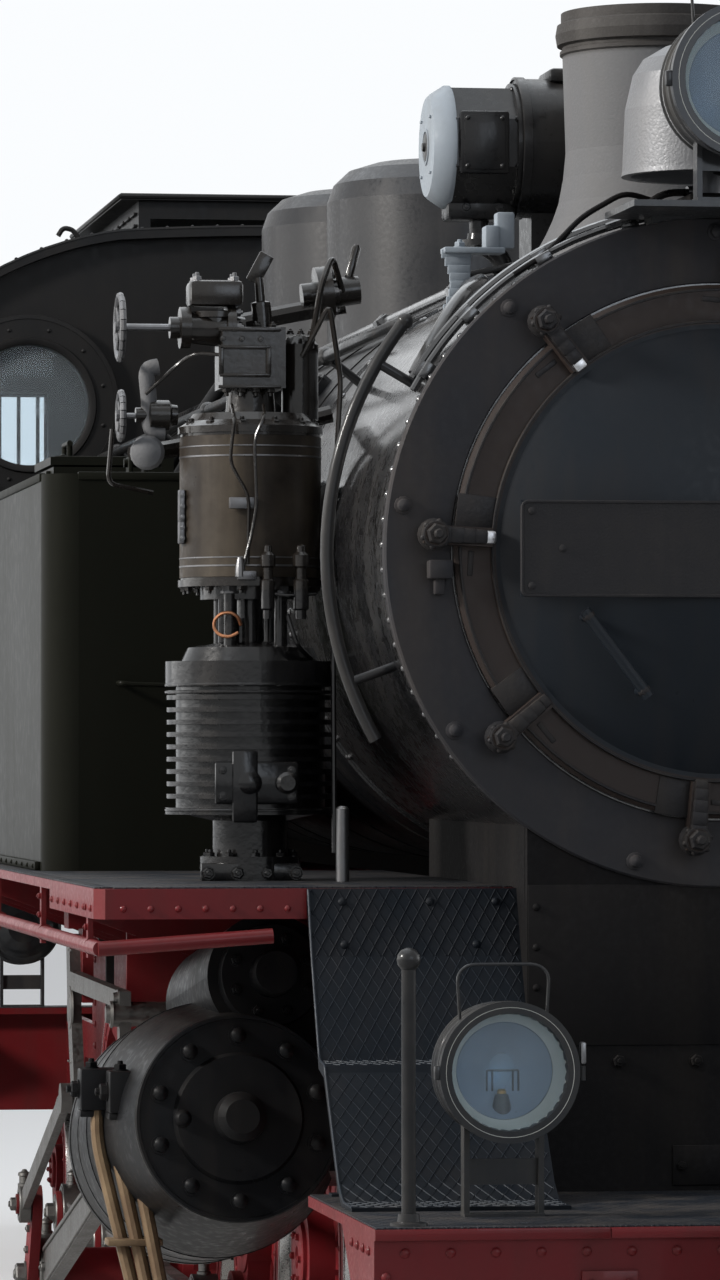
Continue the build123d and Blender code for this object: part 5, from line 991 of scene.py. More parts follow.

# Side tanks: welded steel plate in gloss black, tinted olive as a painted reflection, with a rolled front corner, an
# angle along the top edge, seam straps on the flank, lifting eyes, and hinged filler lids.
# The olive tint in the clean black is a painted yellow-green reflection of the sunlit side.
tank_black_reflection_tint = finish("tank_black_reflection_tint", (0.0085, 0.0088, 0.0066), (0.036, 0.034, 0.023), 0.32, specular=0.03,
                    scale=1.6, dust=0.12, grain=30, bump=0.02, streaks=0.05, spread=0.03)
dress(tank_black_reflection_tint, "tank_right", "tank_left", "tank_lid_right", "tank_lid_left")
bm = bmesh.new()
for side in (-1, 1):
    slab(bm, (-2.05, side * 1.298, 2.536), (2.482, side * 1.314, 2.558), 0.002)
    slab(bm, (2.556, side * 0.780, 2.538), (2.574, side * 1.222, 2.558), 0.002)
    for x in (-0.55, 1.05):
        slab(bm, (x - 0.035, side * 1.309, 1.536), (x + 0.035, side * 1.3125, 2.534), 0.001)
        for k in range(18):
            for dx in (-0.022, 0.022):
                rivet(bm, (x + dx, side * 1.3125, 1.57 + 0.0545 * k), (0, side, 0), 0.006)
    slab(bm, (-2.05, side * 1.309, 1.534), (2.470, side * 1.324, 1.556), 0.002)
    for k in range(30):
        rivet(bm, (-1.98 + 0.152 * k, side * 1.324, 1.545), (0, side, 0), 0.006)
    for x in (-1.75, 0.30, 2.30):
        for dy in (-0.02, 0.02):
            slab(bm, (x - 0.035, side * 1.04 + dy - 0.006, 2.552), (x + 0.035, side * 1.04 + dy + 0.006, 2.610),
                 0.003)
        spun(bm, [(-0.035, 0.012), (0.035, 0.012)], (x, side * 1.04, 2.594), Y, 12)
    bent_tube(bm, [(2.565, side * 1.118, 2.016), (2.605, side * 1.118, 2.016), (2.605, side * 1.090, 2.012),
                   (2.605, side * 0.996, 2.010)], 0.0065, 0.02, 8)
    for t in (0.25, 0.75):
        x = 1.18 + 0.46 * t
        slab(bm, (x - 0.02, side * 1.190, 2.575), (x + 0.02, side * 1.206, 2.607), 0.003)
piece("tank_trim", bm, tank_black_reflection_tint)
for side in (-1, 1):
    bm = bmesh.new()
    for x in (1.27, 1.55):
        slab(bm, (x - 0.018, side * 0.915, 2.640), (x + 0.018, side * 1.185, 2.647), 0.002)
        for dy in (0.94, 1.16):
            rivet(bm, (x, side * dy, 2.647), Z, 0.008)
    piece("tank_lid_straps_" + side_name[side], bm, tank_black_reflection_tint, body="tank_lid_" + side_name[side])

# Cab: riveted steel sheet in black on angle corners, with a half-round bead round the openings, a
# gutter and seam straps on the roof, grab rails, and the ventilator's louvres and deck.
cab_black = finish("cab_black", (0.0068, 0.0068, 0.0072), (0.050, 0.043, 0.036), 0.36, specular=0.13, scale=2.0,
                   dust=0.3, grain=45, bump=0.1, streaks=0.08, spread=0.06)
dress(cab_black, "cab_front", "cab_side_right", "cab_side_left", "cab_rear", "cab_roof", "cab_door_right",
      "cab_door_left")


def bead_round(bm, corners, radius, closed=True):
    """A half-round bead along straight edges, mitred at its corners."""
    if closed:
        corners = corners + [corners[0]]
    for a, b in zip(corners, corners[1:]):
        run = Vector(b) - Vector(a)
        spun(bm, [(-radius * 0.8, radius * 0.5), (0, radius), (run.length, radius),
                  (run.length + radius * 0.8, radius * 0.5)], a, run, 8)


bm = bmesh.new()
for side in (-1, 1):
    y = side * 1.311
    bead_round(bm, [(-2.935, y, 2.435), (-2.305, y, 2.435), (-2.305, y, 3.045), (-2.935, y, 3.045)], 0.012)
    bead_round(bm, [(-3.935, y, 1.49), (-3.935, y, 3.045), (-3.215, y, 3.045)], 0.010, closed=False)
    for k in range(20):
        rivet(bm, (-4.12, side * 1.31, 1.50 + 0.083 * k), (0, side, 0), 0.007)
        rivet(bm, (-2.13, side * 1.31, 1.50 + 0.083 * k), (0, side, 0), 0.007)
    for k in range(12):
        rivet(bm, (-3.16 + 0.088 * k, side * 1.31, 1.49), (0, side, 0), 0.007)
        rivet(bm, (-3.16 + 0.088 * k, side * 1.31, 3.12), (0, side, 0), 0.007)
    slab(bm, (-2.95, side * 1.305, 2.405), (-2.29, side * 1.345, 2.424), 0.005)
    for x, low, high in ((-4.02, 1.62, 2.62), (-3.13, 1.62, 2.36)):
        bent_tube(bm, [(x, side * 1.308, low), (x, side * 1.362, low), (x, side * 1.362, high),
                       (x, side * 1.308, high)], 0.0125, 0.04, 10)
        for z in (low, high):
            spun(bm, [(0, 0.026), (0.006, 0.025), (0.010, 0.015)], (x, side * 1.310, z), (0, side, 0), 12)
piece("cab_beads", bm, cab_black)
bm = bmesh.new()
for side in (-1, 1):
    # A front round window's flanged ring and screws, and a rear window's frame and guard bars
    foot = (-2.015, side * 0.920, 2.990)
    spun(bm, [(-0.006, 0.302), (0.002, 0.300), (0.003, 0.286), (-0.004, 0.284)], foot, X, 64, False)
    spun(bm, [(-0.030, 0.2005), (0.006, 0.2005), (0.010, 0.210), (0.010, 0.222), (0.003, 0.226), (-0.004, 0.226)],
         foot, X, 64, False)
    for c, s in circle(12, 0.5):
        rivet(bm, (-2.014, side * 0.920 + 0.255 * c, 2.990 + 0.255 * s), X, 0.007)
    x = -4.192
    for z in (2.825, 3.155):
        slab(bm, (x - 0.008, side * 0.86 - 0.225, z - 0.014), (x + 0.004, side * 0.86 + 0.225, z + 0.014), 0.003)
    for dy in (-0.212, 0.212):
        slab(bm, (x - 0.008, side * 0.86 + dy - 0.014, 2.812), (x + 0.004, side * 0.86 + dy + 0.014, 3.168), 0.003)
    for k in range(6):
        spun(bm, [(0, 0.007), (0.330, 0.007)], (x + 0.008, side * 0.86 - 0.175 + 0.07 * k, 2.825), Z, 8)
piece("cab_window_frames", bm, cab_black)
window_glass = bpy.data.materials.new("window_glass")
window_glass.use_nodes = True
tree = window_glass.node_tree
smear = add(tree, "TexNoise", {"Scale": 6.0, "Detail": 5})
feed(tree, tree.nodes["Principled BSDF"], {
    "Base Color": (0.82, 0.90, 0.95, 1), "Transmission Weight": 0.94, "IOR": 1.15,
    "Roughness": add(tree, "MapRange", {"Value": smear, "From Min": 0.45, "From Max": 0.85,
                                        "To Min": 0.01, "To Max": 0.16})})
bm = bmesh.new()
for side in (-1, 1):
    spun(bm, [(0, 0.2000), (0.0012, 0.2004), (0.0048, 0.2004), (0.006, 0.2000)], (-2.050, side * 0.920, 2.990), X, 64)
    slab(bm, (-4.176, side * 0.86 - 0.211, 2.824), (-4.170, side * 0.86 + 0.211, 3.156), 0.001)
    slab(bm, (-2.92, side * 1.288 - 0.003, 2.449), (-2.32, side * 1.288 + 0.003, 3.031), 0.001)
piece("cab_panes", bm, window_glass)
for side in (-1, 1):
    bm = bmesh.new()
    slab(bm, (-3.796, side * 1.290 - 0.003, 2.479), (-3.384, side * 1.290 + 0.003, 2.941), 0.001)
    piece("door_pane_" + side_name[side], bm, window_glass, body="cab_door_" + side_name[side])
    bm = bmesh.new()
    y = side * 1.3055
    bead_round(bm, [(-3.808, y, 2.468), (-3.372, y, 2.468), (-3.372, y, 2.952), (-3.808, y, 2.952)], 0.008)
    for z in (1.70, 2.40):
        for k in range(3):
            rivet(bm, (-3.41 + 0.05 * k, side * 1.327, z), (0, side, 0), 0.006)
    for z in (1.54, 2.20):
        for k in range(7):
            rivet(bm, (-3.86 + 0.09 * k, side * 1.305, z), (0, side, 0), 0.0055)
    spun(bm, [(0, 0.024), (0.006, 0.023), (0.010, 0.014), (0.020, 0.012)], (-3.85, side * 1.304, 2.30),
         (0, side, 0), 12)
    piece("cab_door_beads_" + side_name[side], bm, cab_black, body="cab_door_" + side_name[side])


def roof_height(y):
    """Top of the roof at a distance from the middle, as its three arcs run."""
    y = abs(y)
    if y <= 0.620:
        r = (0.620 ** 2 + 0.020 ** 2) / 0.040
        return 3.590 - r + math.sqrt(r * r - y * y)
    (ax, az), (bx, bz), (cx, cz) = (0.620, 3.570), (1.009, 3.447), (1.345, 3.195)
    d = 2 * (ax * (bz - cz) + bx * (cz - az) + cx * (az - bz))
    ux = ((ax ** 2 + az ** 2) * (bz - cz) + (bx ** 2 + bz ** 2) * (cz - az) + (cx ** 2 + cz ** 2) * (az - bz)) / d
    uz = ((ax ** 2 + az ** 2) * (cx - bx) + (bx ** 2 + bz ** 2) * (ax - cx) + (cx ** 2 + cz ** 2) * (bx - ax)) / d
    return uz + math.sqrt((ax - ux) ** 2 + (az - uz) ** 2 - (y - ux) ** 2)


bm = bmesh.new()
for x in (-1.998, -2.235, -3.970, -4.334):
    steps = 40
    loops = []
    for k in range(steps + 1):
        y = -1.340 + 2.680 * k / steps
        z = roof_height(y)
        loops.append([bm.verts.new((x + dx, y, z + dz))
                      for dx, dz in ((-0.012, -0.002), (-0.009, 0.0045), (0.009, 0.0045), (0.012, -0.002))])
    for a, b in zip(loops, loops[1:]):
        for m in range(3):
            bm.faces.new((a[m], b[m], b[m + 1], a[m + 1]))
    for k in range(32):
        y = -1.30 + 2.60 * k / 31
        if abs(y) > 0.56 or x > -2.2 or x < -4.0:
            rivet(bm, (x, y, roof_height(y) + 0.004), (0, 0.35 * y, 1), 0.006)
for side in (-1, 1):
    slab(bm, (-4.335, side * 1.340, 3.176), (-1.995, side * 1.356, 3.198), 0.003)
    for k in range(9):
        for z in (3.615, 3.655):
            slab(bm, (-3.86 + 0.17 * k, side * 0.512, z), (-3.74 + 0.17 * k, side * 0.5315, z + 0.010), 0.002)
    y = side * 0.80
    z = roof_height(y)
    bent_tube(bm, [(-2.03, side * 0.752, roof_height(0.752) - 0.004), (-2.03, side * 0.770, z + 0.042),
                   (-2.03, side * 0.805, z + 0.050), (-2.03, side * 0.822, z + 0.022)], 0.0085, 0.025, 8)
bead_round(bm, [(-3.940, -0.584, 3.712), (-2.290, -0.584, 3.712), (-2.290, 0.584, 3.712), (-3.940, 0.584, 3.712)],
           0.009)
piece("roof_straps", bm, cab_black)

# Cab inside: a plank floor, and on the boiler's end the fire door, gauge glasses, dials and wheels in
# brass and iron, with their pipes.
plank_wood = finish("plank_wood", (0.14, 0.085, 0.050), (0.045, 0.032, 0.024), 0.62, scale=5.0, dust=0.7, grain=70,
                    bump=0.3)
oily_iron = finish("oily_iron", (0.0055, 0.0055, 0.0060), (0.026, 0.021, 0.017), 0.13, coat=0.15, specular=0.3,
                   scale=9.0, dust=0.25,
                   grain=70, bump=0.3, spread=0.08, zone=((0, 0, 0), Z, 2.215, 2.225, (0.0110, 0.0090, 0.0075)))
dress(cab_black, "cab_floor")
dress(oily_iron, "air_pump", "cab_fittings")
brass = finish("brass", (0.50, 0.30, 0.095), (0.12, 0.075, 0.035), 0.28, metal=1.0, scale=12.0, dust=0.4, grain=150,
               bump=0.08)
bm = bmesh.new()
for k in range(16):
    slab(bm, (-4.145, -1.26 + 0.158 * k, 1.478), (-2.64, -1.26 + 0.158 * k + 0.150, 1.4835), 0.0015)
piece("cab_planks", bm, plank_wood)
bm, bits = bmesh.new(), bmesh.new()
face = -2.620
dial_places, dial_z = (-0.48, -0.28, 0.28, 0.48), 2.70
for y, z in ((-0.33, 2.42), (0.33, 2.42)):
    spun(bm, [(0, 0.009), (0.26, 0.009)], (face - 0.06, y, z - 0.13), Z, 10)
    for dz in (-0.14, 0.13):
        spun(bm, [(0, 0.022), (0.05, 0.022), (0.075, 0.016), (0.078, 0)], (face + 0.004, y, z + dz), (-1, 0, 0), 10)
for y in dial_places:
    spun(bm, [(0, 0.066), (0.006, 0.069), (0.010, 0.066), (0.008, 0.060)], (face - 0.070, y, dial_z), (-1, 0, 0), 28,
         False)
for y, z in ((-0.55, 2.30), (0.55, 2.30), (-0.20, 2.86), (0.20, 2.86)):
    spun(bits, [(0, 0.018), (0.09, 0.016), (0.10, 0.010)], (face + 0.004, y, z), (-1, 0, 0), 10)
    for k in range(14):
        a, b = 2 * math.pi * k / 14, 2 * math.pi * (k + 1) / 14
        p = Vector((face - 0.10, y + 0.055 * math.cos(a), z + 0.055 * math.sin(a)))
        q = Vector((face - 0.10, y + 0.055 * math.cos(b), z + 0.055 * math.sin(b)))
        spun(bits, [(0, 0.008), ((q - p).length, 0.008)], p, q - p, 6)
    for a in (0, 60, 120):
        c, s = math.cos(math.radians(a)) * 0.055, math.sin(math.radians(a)) * 0.055
        spun(bits, [(0, 0.005), (0.11, 0.005)], (face - 0.10, y - c, z - s), (0, c, s), 6)
bent_tube(bits, [(face - 0.03, -0.28, 2.72), (face - 0.05, -0.28, 2.95), (face - 0.04, 0.0, 2.97), (face, 0.0, 2.97)],
          0.009, 0.05, 8)
slab(bits, (face - 0.085, -0.17, 1.93), (face - 0.055, 0.17, 1.965), 0.004)
for c, s in circle(12):
    rivet(bits, (face - 0.040, 0.198 * c, 1.98 + 0.198 * s), (-1, 0, 0), 0.008)
for c, s in circle(30):
    rivet(bits, (face, 0.70 * c, boiler_mid + 0.70 * s), (-1, 0, 0), 0.010)
piece("backhead_brass", bm, brass)
piece("backhead_iron", bits, oily_iron)
dial_white = finish("dial_white", (0.62, 0.60, 0.54), (0.36, 0.32, 0.25), 0.35, scale=20.0, dust=0.3, grain=200,
                    bump=0.04)
bm = bmesh.new()
for y in dial_places:
    spun(bm, [(0, 0.062), (0.003, 0.060), (0.0035, 0)], (face - 0.070, y, dial_z), (-1, 0, 0), 28)
piece("dials", bm, dial_white)
bm = bmesh.new()
for y in dial_places:
    for k in range(9):
        t = math.radians(-30 + 30 * k)
        slab(bm, (face - 0.0746, y + 0.050 * math.cos(t) - 0.006, dial_z + 0.050 * math.sin(t) - 0.001),
             (face - 0.0733, y + 0.050 * math.cos(t) + 0.006, dial_z + 0.050 * math.sin(t) + 0.001), 0.0,
             turn=(X, math.degrees(t)))
    slab(bm, (face - 0.0752, y - 0.003, dial_z - 0.0015), (face - 0.0738, y + 0.046, dial_z + 0.0015), 0.0,
         turn=(X, 125), about=(face - 0.074, y, dial_z))
piece("dial_marks", bm, saddle_black)

# Bunker and coal: a riveted steel box with a half-round bead, a ladder and grab rails at the rear,
# heaped with broken coal.
dress(cab_black, "bunker")
coal_black = finish("coal_black", (0.0055, 0.0055, 0.0065), (0.024, 0.022, 0.020), 0.32, scale=14.0, dust=0.6,
                    grain=40, bump=0.8, depth=0.01)
dress(coal_black, "coal")
bm = bmesh.new()
bead_round(bm, [(-5.560, -1.240, 2.620), (-4.192, -1.240, 2.620), (-4.192, 1.240, 2.620), (-5.560, 1.240, 2.620)],
           0.016)
for side in (-1, 1):
    for k in range(17):
        rivet(bm, (-5.52 + 0.081 * k, side * 1.240, 1.475), (0, side, 0), 0.007)
        rivet(bm, (-5.52 + 0.081 * k, side * 1.240, 2.570), (0, side, 0), 0.007)
    for k in range(14):
        rivet(bm, (-5.525, side * 1.240, 1.55 + 0.075 * k), (0, side, 0), 0.007)
        rivet(bm, (-5.560, side * 1.205, 1.55 + 0.075 * k), (-1, 0, 0), 0.007)
for k in range(29):
    rivet(bm, (-5.560, -1.15 + 0.082 * k, 1.475), (-1, 0, 0), 0.007)
    rivet(bm, (-5.560, -1.15 + 0.082 * k, 2.570), (-1, 0, 0), 0.007)
for y in (0.56, 0.88):
    slab(bm, (-5.606, y - 0.006, 1.00), (-5.566, y + 0.006, 2.60), 0.002)
for k in range(6):
    spun(bm, [(0, 0.011), (0.32, 0.011)], (-5.598, 0.56, 1.10 + 0.27 * k), Y, 10)
for y in (-1.05, -0.35):
    bent_tube(bm, [(-5.556, y, 1.75), (-5.606, y, 1.75), (-5.606, y, 2.42), (-5.556, y, 2.42)], 0.0125, 0.04, 10)
piece("bunker_beads", bm, cab_black)
bm = bmesh.new()
lumps = random.Random(7)
heap = [(-5.52, 2.38), (-5.16, 2.54), (-4.58, 2.56), (-4.23, 2.44)]
for k in range(620):
    x, y = lumps.uniform(-5.48, -4.28), lumps.uniform(-1.15, 1.15)
    low = next((a, b) for a, b in zip(heap, heap[1:]) if a[0] <= x <= b[0])
    t = (x - low[0][0]) / (low[1][0] - low[0][0])
    z = low[0][1] + (low[1][1] - low[0][1]) * t + 0.10 * (1 - (y / 1.2) ** 2) * (1 - ((x + 4.87) / 0.68) ** 2)
    size = lumps.uniform(0.022, 0.062)
    made = bmesh.ops.create_icosphere(bm, subdivisions=1, radius=size)["verts"]
    for v in made:
        v.co *= lumps.uniform(0.62, 1.15)
        v.co.z *= 0.8
        v.co += Vector((x, y, z + 0.01))
piece("coal_heap", bm, coal_black, crease=12)

# Air pump: cast and black-enamelled cylinders under a skin of oil, the steam end in a browned sheet
# jacket with steel bands, nuts round every flange, and oil lines of thin pipe from the lubricator box.
pump = Vector((3.750, -0.930, 0))


def round_pump(bm, count, radius, z, way, size, first=0.0):
    """A ring of nuts on one of the pump's flanges."""
    for c, s in circle(count, first):
        nut(bm, (pump.x + radius * c, pump.y + radius * s, z), (0, 0, way), size, 0.6)


bm = bmesh.new()
round_pump(bm, 14, 0.188, 1.995, 1, 0.013, 0.5)
round_pump(bm, 12, 0.158, 2.231, -1, 0.010, 0.5)
round_pump(bm, 12, 0.152, 2.609, 1, 0.012, 0.5)
round_pump(bm, 10, 0.104, 1.589, 1, 0.010)
for z in (1.997, 1.980, 1.700):
    spun(bm, [(-0.004, 0.2025), (-0.002, 0.2045), (0.002, 0.2045), (0.004, 0.2025)], (pump.x, pump.y, z), Z, 48)
for k, radius in ((0, 0.030), (1, 0.026)):
    spun(bm, [(0, radius), (0.022, radius), (0.028, radius * 0.7)],
         (pump.x + 0.196, pump.y - 0.03 + 0.09 * k, 1.765), X, 16)
slab(bm, (3.945, -1.040, 1.715), (3.958, -0.842, 1.815), 0.006)
slab(bm, (3.958, -1.000, 1.672), (3.970, -0.940, 1.842), 0.006)
for dy in (-1.022, -0.86):
    for z in (1.735, 1.795):
        nut(bm, (3.958, dy, z), X, 0.008, 0.4)
for k in range(4):
    nut(bm, (3.86, -1.045 + 0.07 * k, 1.552), X, 0.013, 0.4)
for y, r in ((-0.9135, 0.0165), (-0.835, 0.019)):
    spun(bm, [(0, r * 0.7), (0.02, r * 0.7), (0.024, r), (0.09, r), (0.094, r * 0.75), (0.12, r * 0.75),
              (0.124, r * 1.1),
              (0.15, r * 1.1), (0.158, r * 0.6), (0.172, r * 0.55), (0.178, 0)], (3.945, y, 2.151), Z, 14)
for y, top in ((-1.006, 2.205), (-0.963, 2.160)):
    spun(bm, [(0, 0.006), (0.10, 0.006), (0.102, 0.011), (top - 2.0, 0.011)], (3.830, y, 1.995), Z, 10)
slab(bm, (3.84, -1.061, 1.532), (3.862, -0.823, 1.575), 0.004)
piece("pump_nuts", bm, oily_iron)
jacket_brown = finish("jacket_brown", (0.017, 0.013, 0.010), (0.105, 0.085, 0.062), 0.30, metal=0.1, scale=9.0,
                      dust=0.5, grain=60, bump=0.15, streaks=0.6)
bm = bmesh.new()
spun(bm, [(0, 0.1675), (0.001, 0.1688), (0.335, 0.1688), (0.336, 0.1675)], (pump.x, pump.y, 2.251), Z, 72)
piece("pump_jacket", bm, jacket_brown)
worn_steel = finish("worn_steel", (0.15, 0.15, 0.155), (0.07, 0.060, 0.048), 0.26, metal=0.9, scale=14.0, dust=0.4,
                    grain=120, bump=0.12)
bm = bmesh.new()
for z, high in ((2.276, 0.004), (2.296, 0.003), (2.536, 0.004), (2.560, 0.003)):
    spun(bm, [(0, 0.1685), (0.0005, 0.1700), (high, 0.1700), (high + 0.0005, 0.1685)], (pump.x, pump.y, z), Z, 72)
for z, rows in ((2.382, 3), (2.332, 2)):
    slab(bm, (pump.x + 0.022, -1.107, z), (pump.x + 0.055, -1.094, z + 0.026 * rows), 0.002)
    for k in range(rows):
        nut(bm, (pump.x + 0.055, -1.100, z + 0.013 + 0.026 * k), X, 0.005, 0.3)
slab(bm, (3.912, -1.0026, 2.411), (3.932, -0.939, 2.438), 0.003)
slab(bm, (3.918, -0.984, 2.243), (3.945, -0.940, 2.264), 0.003)
spun(bm, [(0, 0.012), (0.02, 0.012), (0.045, 0.007)], (3.935, -0.978, 2.250), Z, 10)
for k in range(4):
    dx, dy = (0.095, -0.095)[k % 2], (0.060, -0.060)[k // 2]
    for z in (2.062, 2.215):
        nut(bm, (pump.x + dx, pump.y + dy, z), Z, 0.019, 0.0)
spun(bm, [(0, 0.016), (0.17, 0.016), (0.177, 0.010)], (4.0, -0.744, 1.534), Z, 12)
piece("pump_bright_work", bm, worn_steel)
copper = finish("copper", (0.42, 0.19, 0.10), (0.06, 0.04, 0.03), 0.3, metal=1.0, scale=14.0, dust=0.5, grain=90,
                bump=0.05)
bm = bmesh.new()
bent_tube(bm, [(3.86 + 0.012 * math.sin(k), -0.9993 + 0.032 * math.cos(k * 0.7), 2.139 + 0.030 * math.sin(k * 0.7))
               for k in range(9)], 0.0042, 0.01, 8)
piece("pump_copper", bm, copper)
bm = bmesh.new()
for points, radius in (
        ([(3.84, -0.9865, 2.66), (3.936, -0.992, 2.62), (3.936, -1.003, 2.52), (3.934, -0.957, 2.44),
          (3.934, -0.960, 2.28)], 0.0042),
        ([(3.84, -0.9105, 2.66), (3.938, -0.920, 2.63), (3.936, -0.945, 2.575), (3.936, -0.939, 2.42),
          (3.936, -0.951, 2.35), (3.936, -0.972, 2.27)], 0.0042),
        ([(3.80, -0.792, 2.80), (3.83, -0.77, 2.95), (3.80, -0.74, 3.02), (3.72, -0.70, 2.93)], 0.0075),
        ([(3.80, -0.812, 2.78), (3.86, -0.755, 2.90), (3.84, -0.725, 2.72), (3.86, -0.74, 2.50), (3.90, -0.752, 2.10),
          (3.92, -0.752, 1.60)], 0.0065),
        ([(3.76, -0.745, 2.47), (3.78, -0.775, 2.45), (3.80, -0.760, 2.36), (3.82, -0.742, 2.27)], 0.018),
        ([(3.66, -1.251, 2.61), (3.66, -1.262, 2.48), (3.62, -1.15, 2.46)], 0.006),
        ([(3.735, -1.180, 2.69), (3.76, -1.100, 2.765), (3.80, -1.070, 2.785), (3.82, -1.01, 2.78)], 0.0045),
        ([(3.945, -0.90, 2.21), (3.955, -0.86, 2.205), (3.945, -0.80, 2.21)], 0.004),
        ([(3.90, -0.86, 2.16), (3.915, -0.84, 2.09), (3.86, -0.80, 2.06)], 0.006)):
    bent_tube(bm, points, radius, 0.025, 8)
slab(bm, (3.826, -1.017, 2.700), (3.834, -0.867, 2.708), 0.002)
slab(bm, (3.826, -1.017, 2.836), (3.834, -0.867, 2.845), 0.002)
for y in (-1.010, -0.8965):
    slab(bm, (3.826, y - 0.006, 2.732), (3.833, y + 0.006, 2.800), 0.002)
for z in (2.732, 2.798):
    slab(bm, (3.826, -1.014, z - 0.0045), (3.833, -0.892, z + 0.0045), 0.002)
for k in range(4):
    nut(bm, (3.815, -0.995 + 0.035 * k, 2.702), (0, 0, -1), 0.010, 0.8)
    nut(bm, (3.78, -0.995 + 0.038 * k, 2.847), Z, 0.009, 0.5)
for k in range(3):
    nut(bm, (3.826, -1.005 + 0.045 * k, 2.818), X, 0.006, 0.3)
    nut(bm, (3.794, -0.840 + 0.025 * k, 2.834), Z, 0.007, 0.5)
piece("pump_pipes", bm, oily_iron)

# Steam and oil valves beside the pump: cast bodies with bolted flanges, spoked handwheels on their
# spindles, a lever, and pipe bends worn to grey metal.
bm, bits = bmesh.new(), bmesh.new()


def handwheel(bm, foot, axis, radius):
    """A rim of round bar on four spokes, square to its spindle."""
    run = Vector(axis).normalized()
    side = run.orthogonal().normalized()
    ends = [Vector(foot) + (side * c + run.cross(side) * s) * radius for c, s in circle(20)]
    for p, q in zip(ends, ends[1:] + ends[:1]):
        spun(bm, [(0, 0.008), ((q - p).length, 0.008)], p, q - p, 8)
    for k in (0, 5, 10, 15):
        spun(bm, [(0, 0.005), (radius, 0.005)], foot, ends[k] - Vector(foot), 6)
    spun(bm, [(-0.012, 0.014), (0.012, 0.014)], foot, axis, 10)


handwheel(bits, (3.75, -1.243, 2.848), Y, 0.076)
handwheel(bits, (3.70, -1.235, 2.640), Y, 0.056)
spun(bits, [(0, 0.009), (0.15, 0.009)], (3.75, -1.243, 2.848), Y, 10)
spun(bits, [(0, 0.007), (0.05, 0.007)], (3.70, -1.235, 2.640), Y, 10)
spun(bm, [(0, 0.026), (0.022, 0.026), (0.024, 0.050), (0.048, 0.050), (0.050, 0.038), (0.10, 0.044), (0.132, 0.044),
          (0.134, 0.058), (0.155, 0.058), (0.158, 0.03), (0.18, 0.026)], (3.75, -1.124, 2.848), Y, 20)
spun(bm, [(0, 0.018), (0.03, 0.018), (0.034, 0.036), (0.08, 0.036), (0.086, 0.026), (0.10, 0.024)],
     (3.70, -1.200, 2.642), Y, 16)
slab(bm, (3.70, -1.080, 2.898), (3.80, -0.952, 2.960), 0.012)
spun(bm, [(0, 0.042), (0.02, 0.042), (0.022, 0.055), (0.036, 0.055)], (3.75, -1.015, 2.85), Z, 18)
spun(bm, [(0, 0.022), (0.13, 0.022)], (3.75, -0.985, 2.72), Z, 14)
spun(bm, [(0, 0.030), (0.034, 0.030), (0.036, 0.066), (0.052, 0.066), (0.056, 0.066), (0.072, 0.066),
          (0.074, 0.036), (0.14, 0.034)], (3.70, -0.800, 2.930), (0, 1, 0.12), 20)
for c, s in circle(6):
    nut(bits, (3.75 + 0.042 * c, -0.966, 2.848 + 0.042 * s), Y, 0.009, 0.5)
    nut(bits, (3.70 + 0.051 * c, -0.726, 2.938 + 0.051 * s), (0, 1, 0.12), 0.009, 0.5)
for k in range(4):
    nut(bits, (3.715 + 0.05 * (k % 2), -1.060 + 0.09 * (k // 2), 2.960), Z, 0.010, 0.8)
slab(bm, (3.742, -0.925, 2.955), (3.754, -0.889, 3.030), 0.003, turn=(X, -28))
spun(bm, [(0, 0.024), (0.06, 0.024), (0.064, 0.012), (0.12, 0.011)], (3.748, -0.900, 2.850), (0, -0.08, 1), 14)
spun(bm, [(0, 0.011), (0.09, 0.011), (0.098, 0.006)], (3.70, -0.690, 2.96), (0.1, 0.25, 1), 10)
bent_tube(bm, [(3.70, -1.20, 2.552), (3.58, -1.14, 2.56), (3.50, -0.85, 2.62), (3.50, -0.70, 2.66)], 0.022, 0.06, 10)
bent_tube(bm, [(3.75, -1.02, 2.86), (3.62, -0.98, 2.86), (3.58, -0.80, 2.90), (3.60, -0.68, 2.92)], 0.024, 0.07, 10)
bends = bmesh.new()
bent_tube(bends, [(3.70, -1.130, 2.60), (3.70, -1.165, 2.60), (3.70, -1.168, 2.685), (3.70, -1.176, 2.752),
                  (3.70, -1.145, 2.758)], 0.020, 0.03, 12)
spun(bends, [(0, 0.038), (0.012, 0.042), (0.03, 0.036), (0.04, 0.018), (0.042, 0)], (3.70, -1.170, 2.552),
     (0.8, -0.2, 0), 18)
piece("pipe_bends", bends, baked_iron)
piece("valve_bodies", bm, oily_iron)
piece("valve_bright_work", bits, worn_steel)

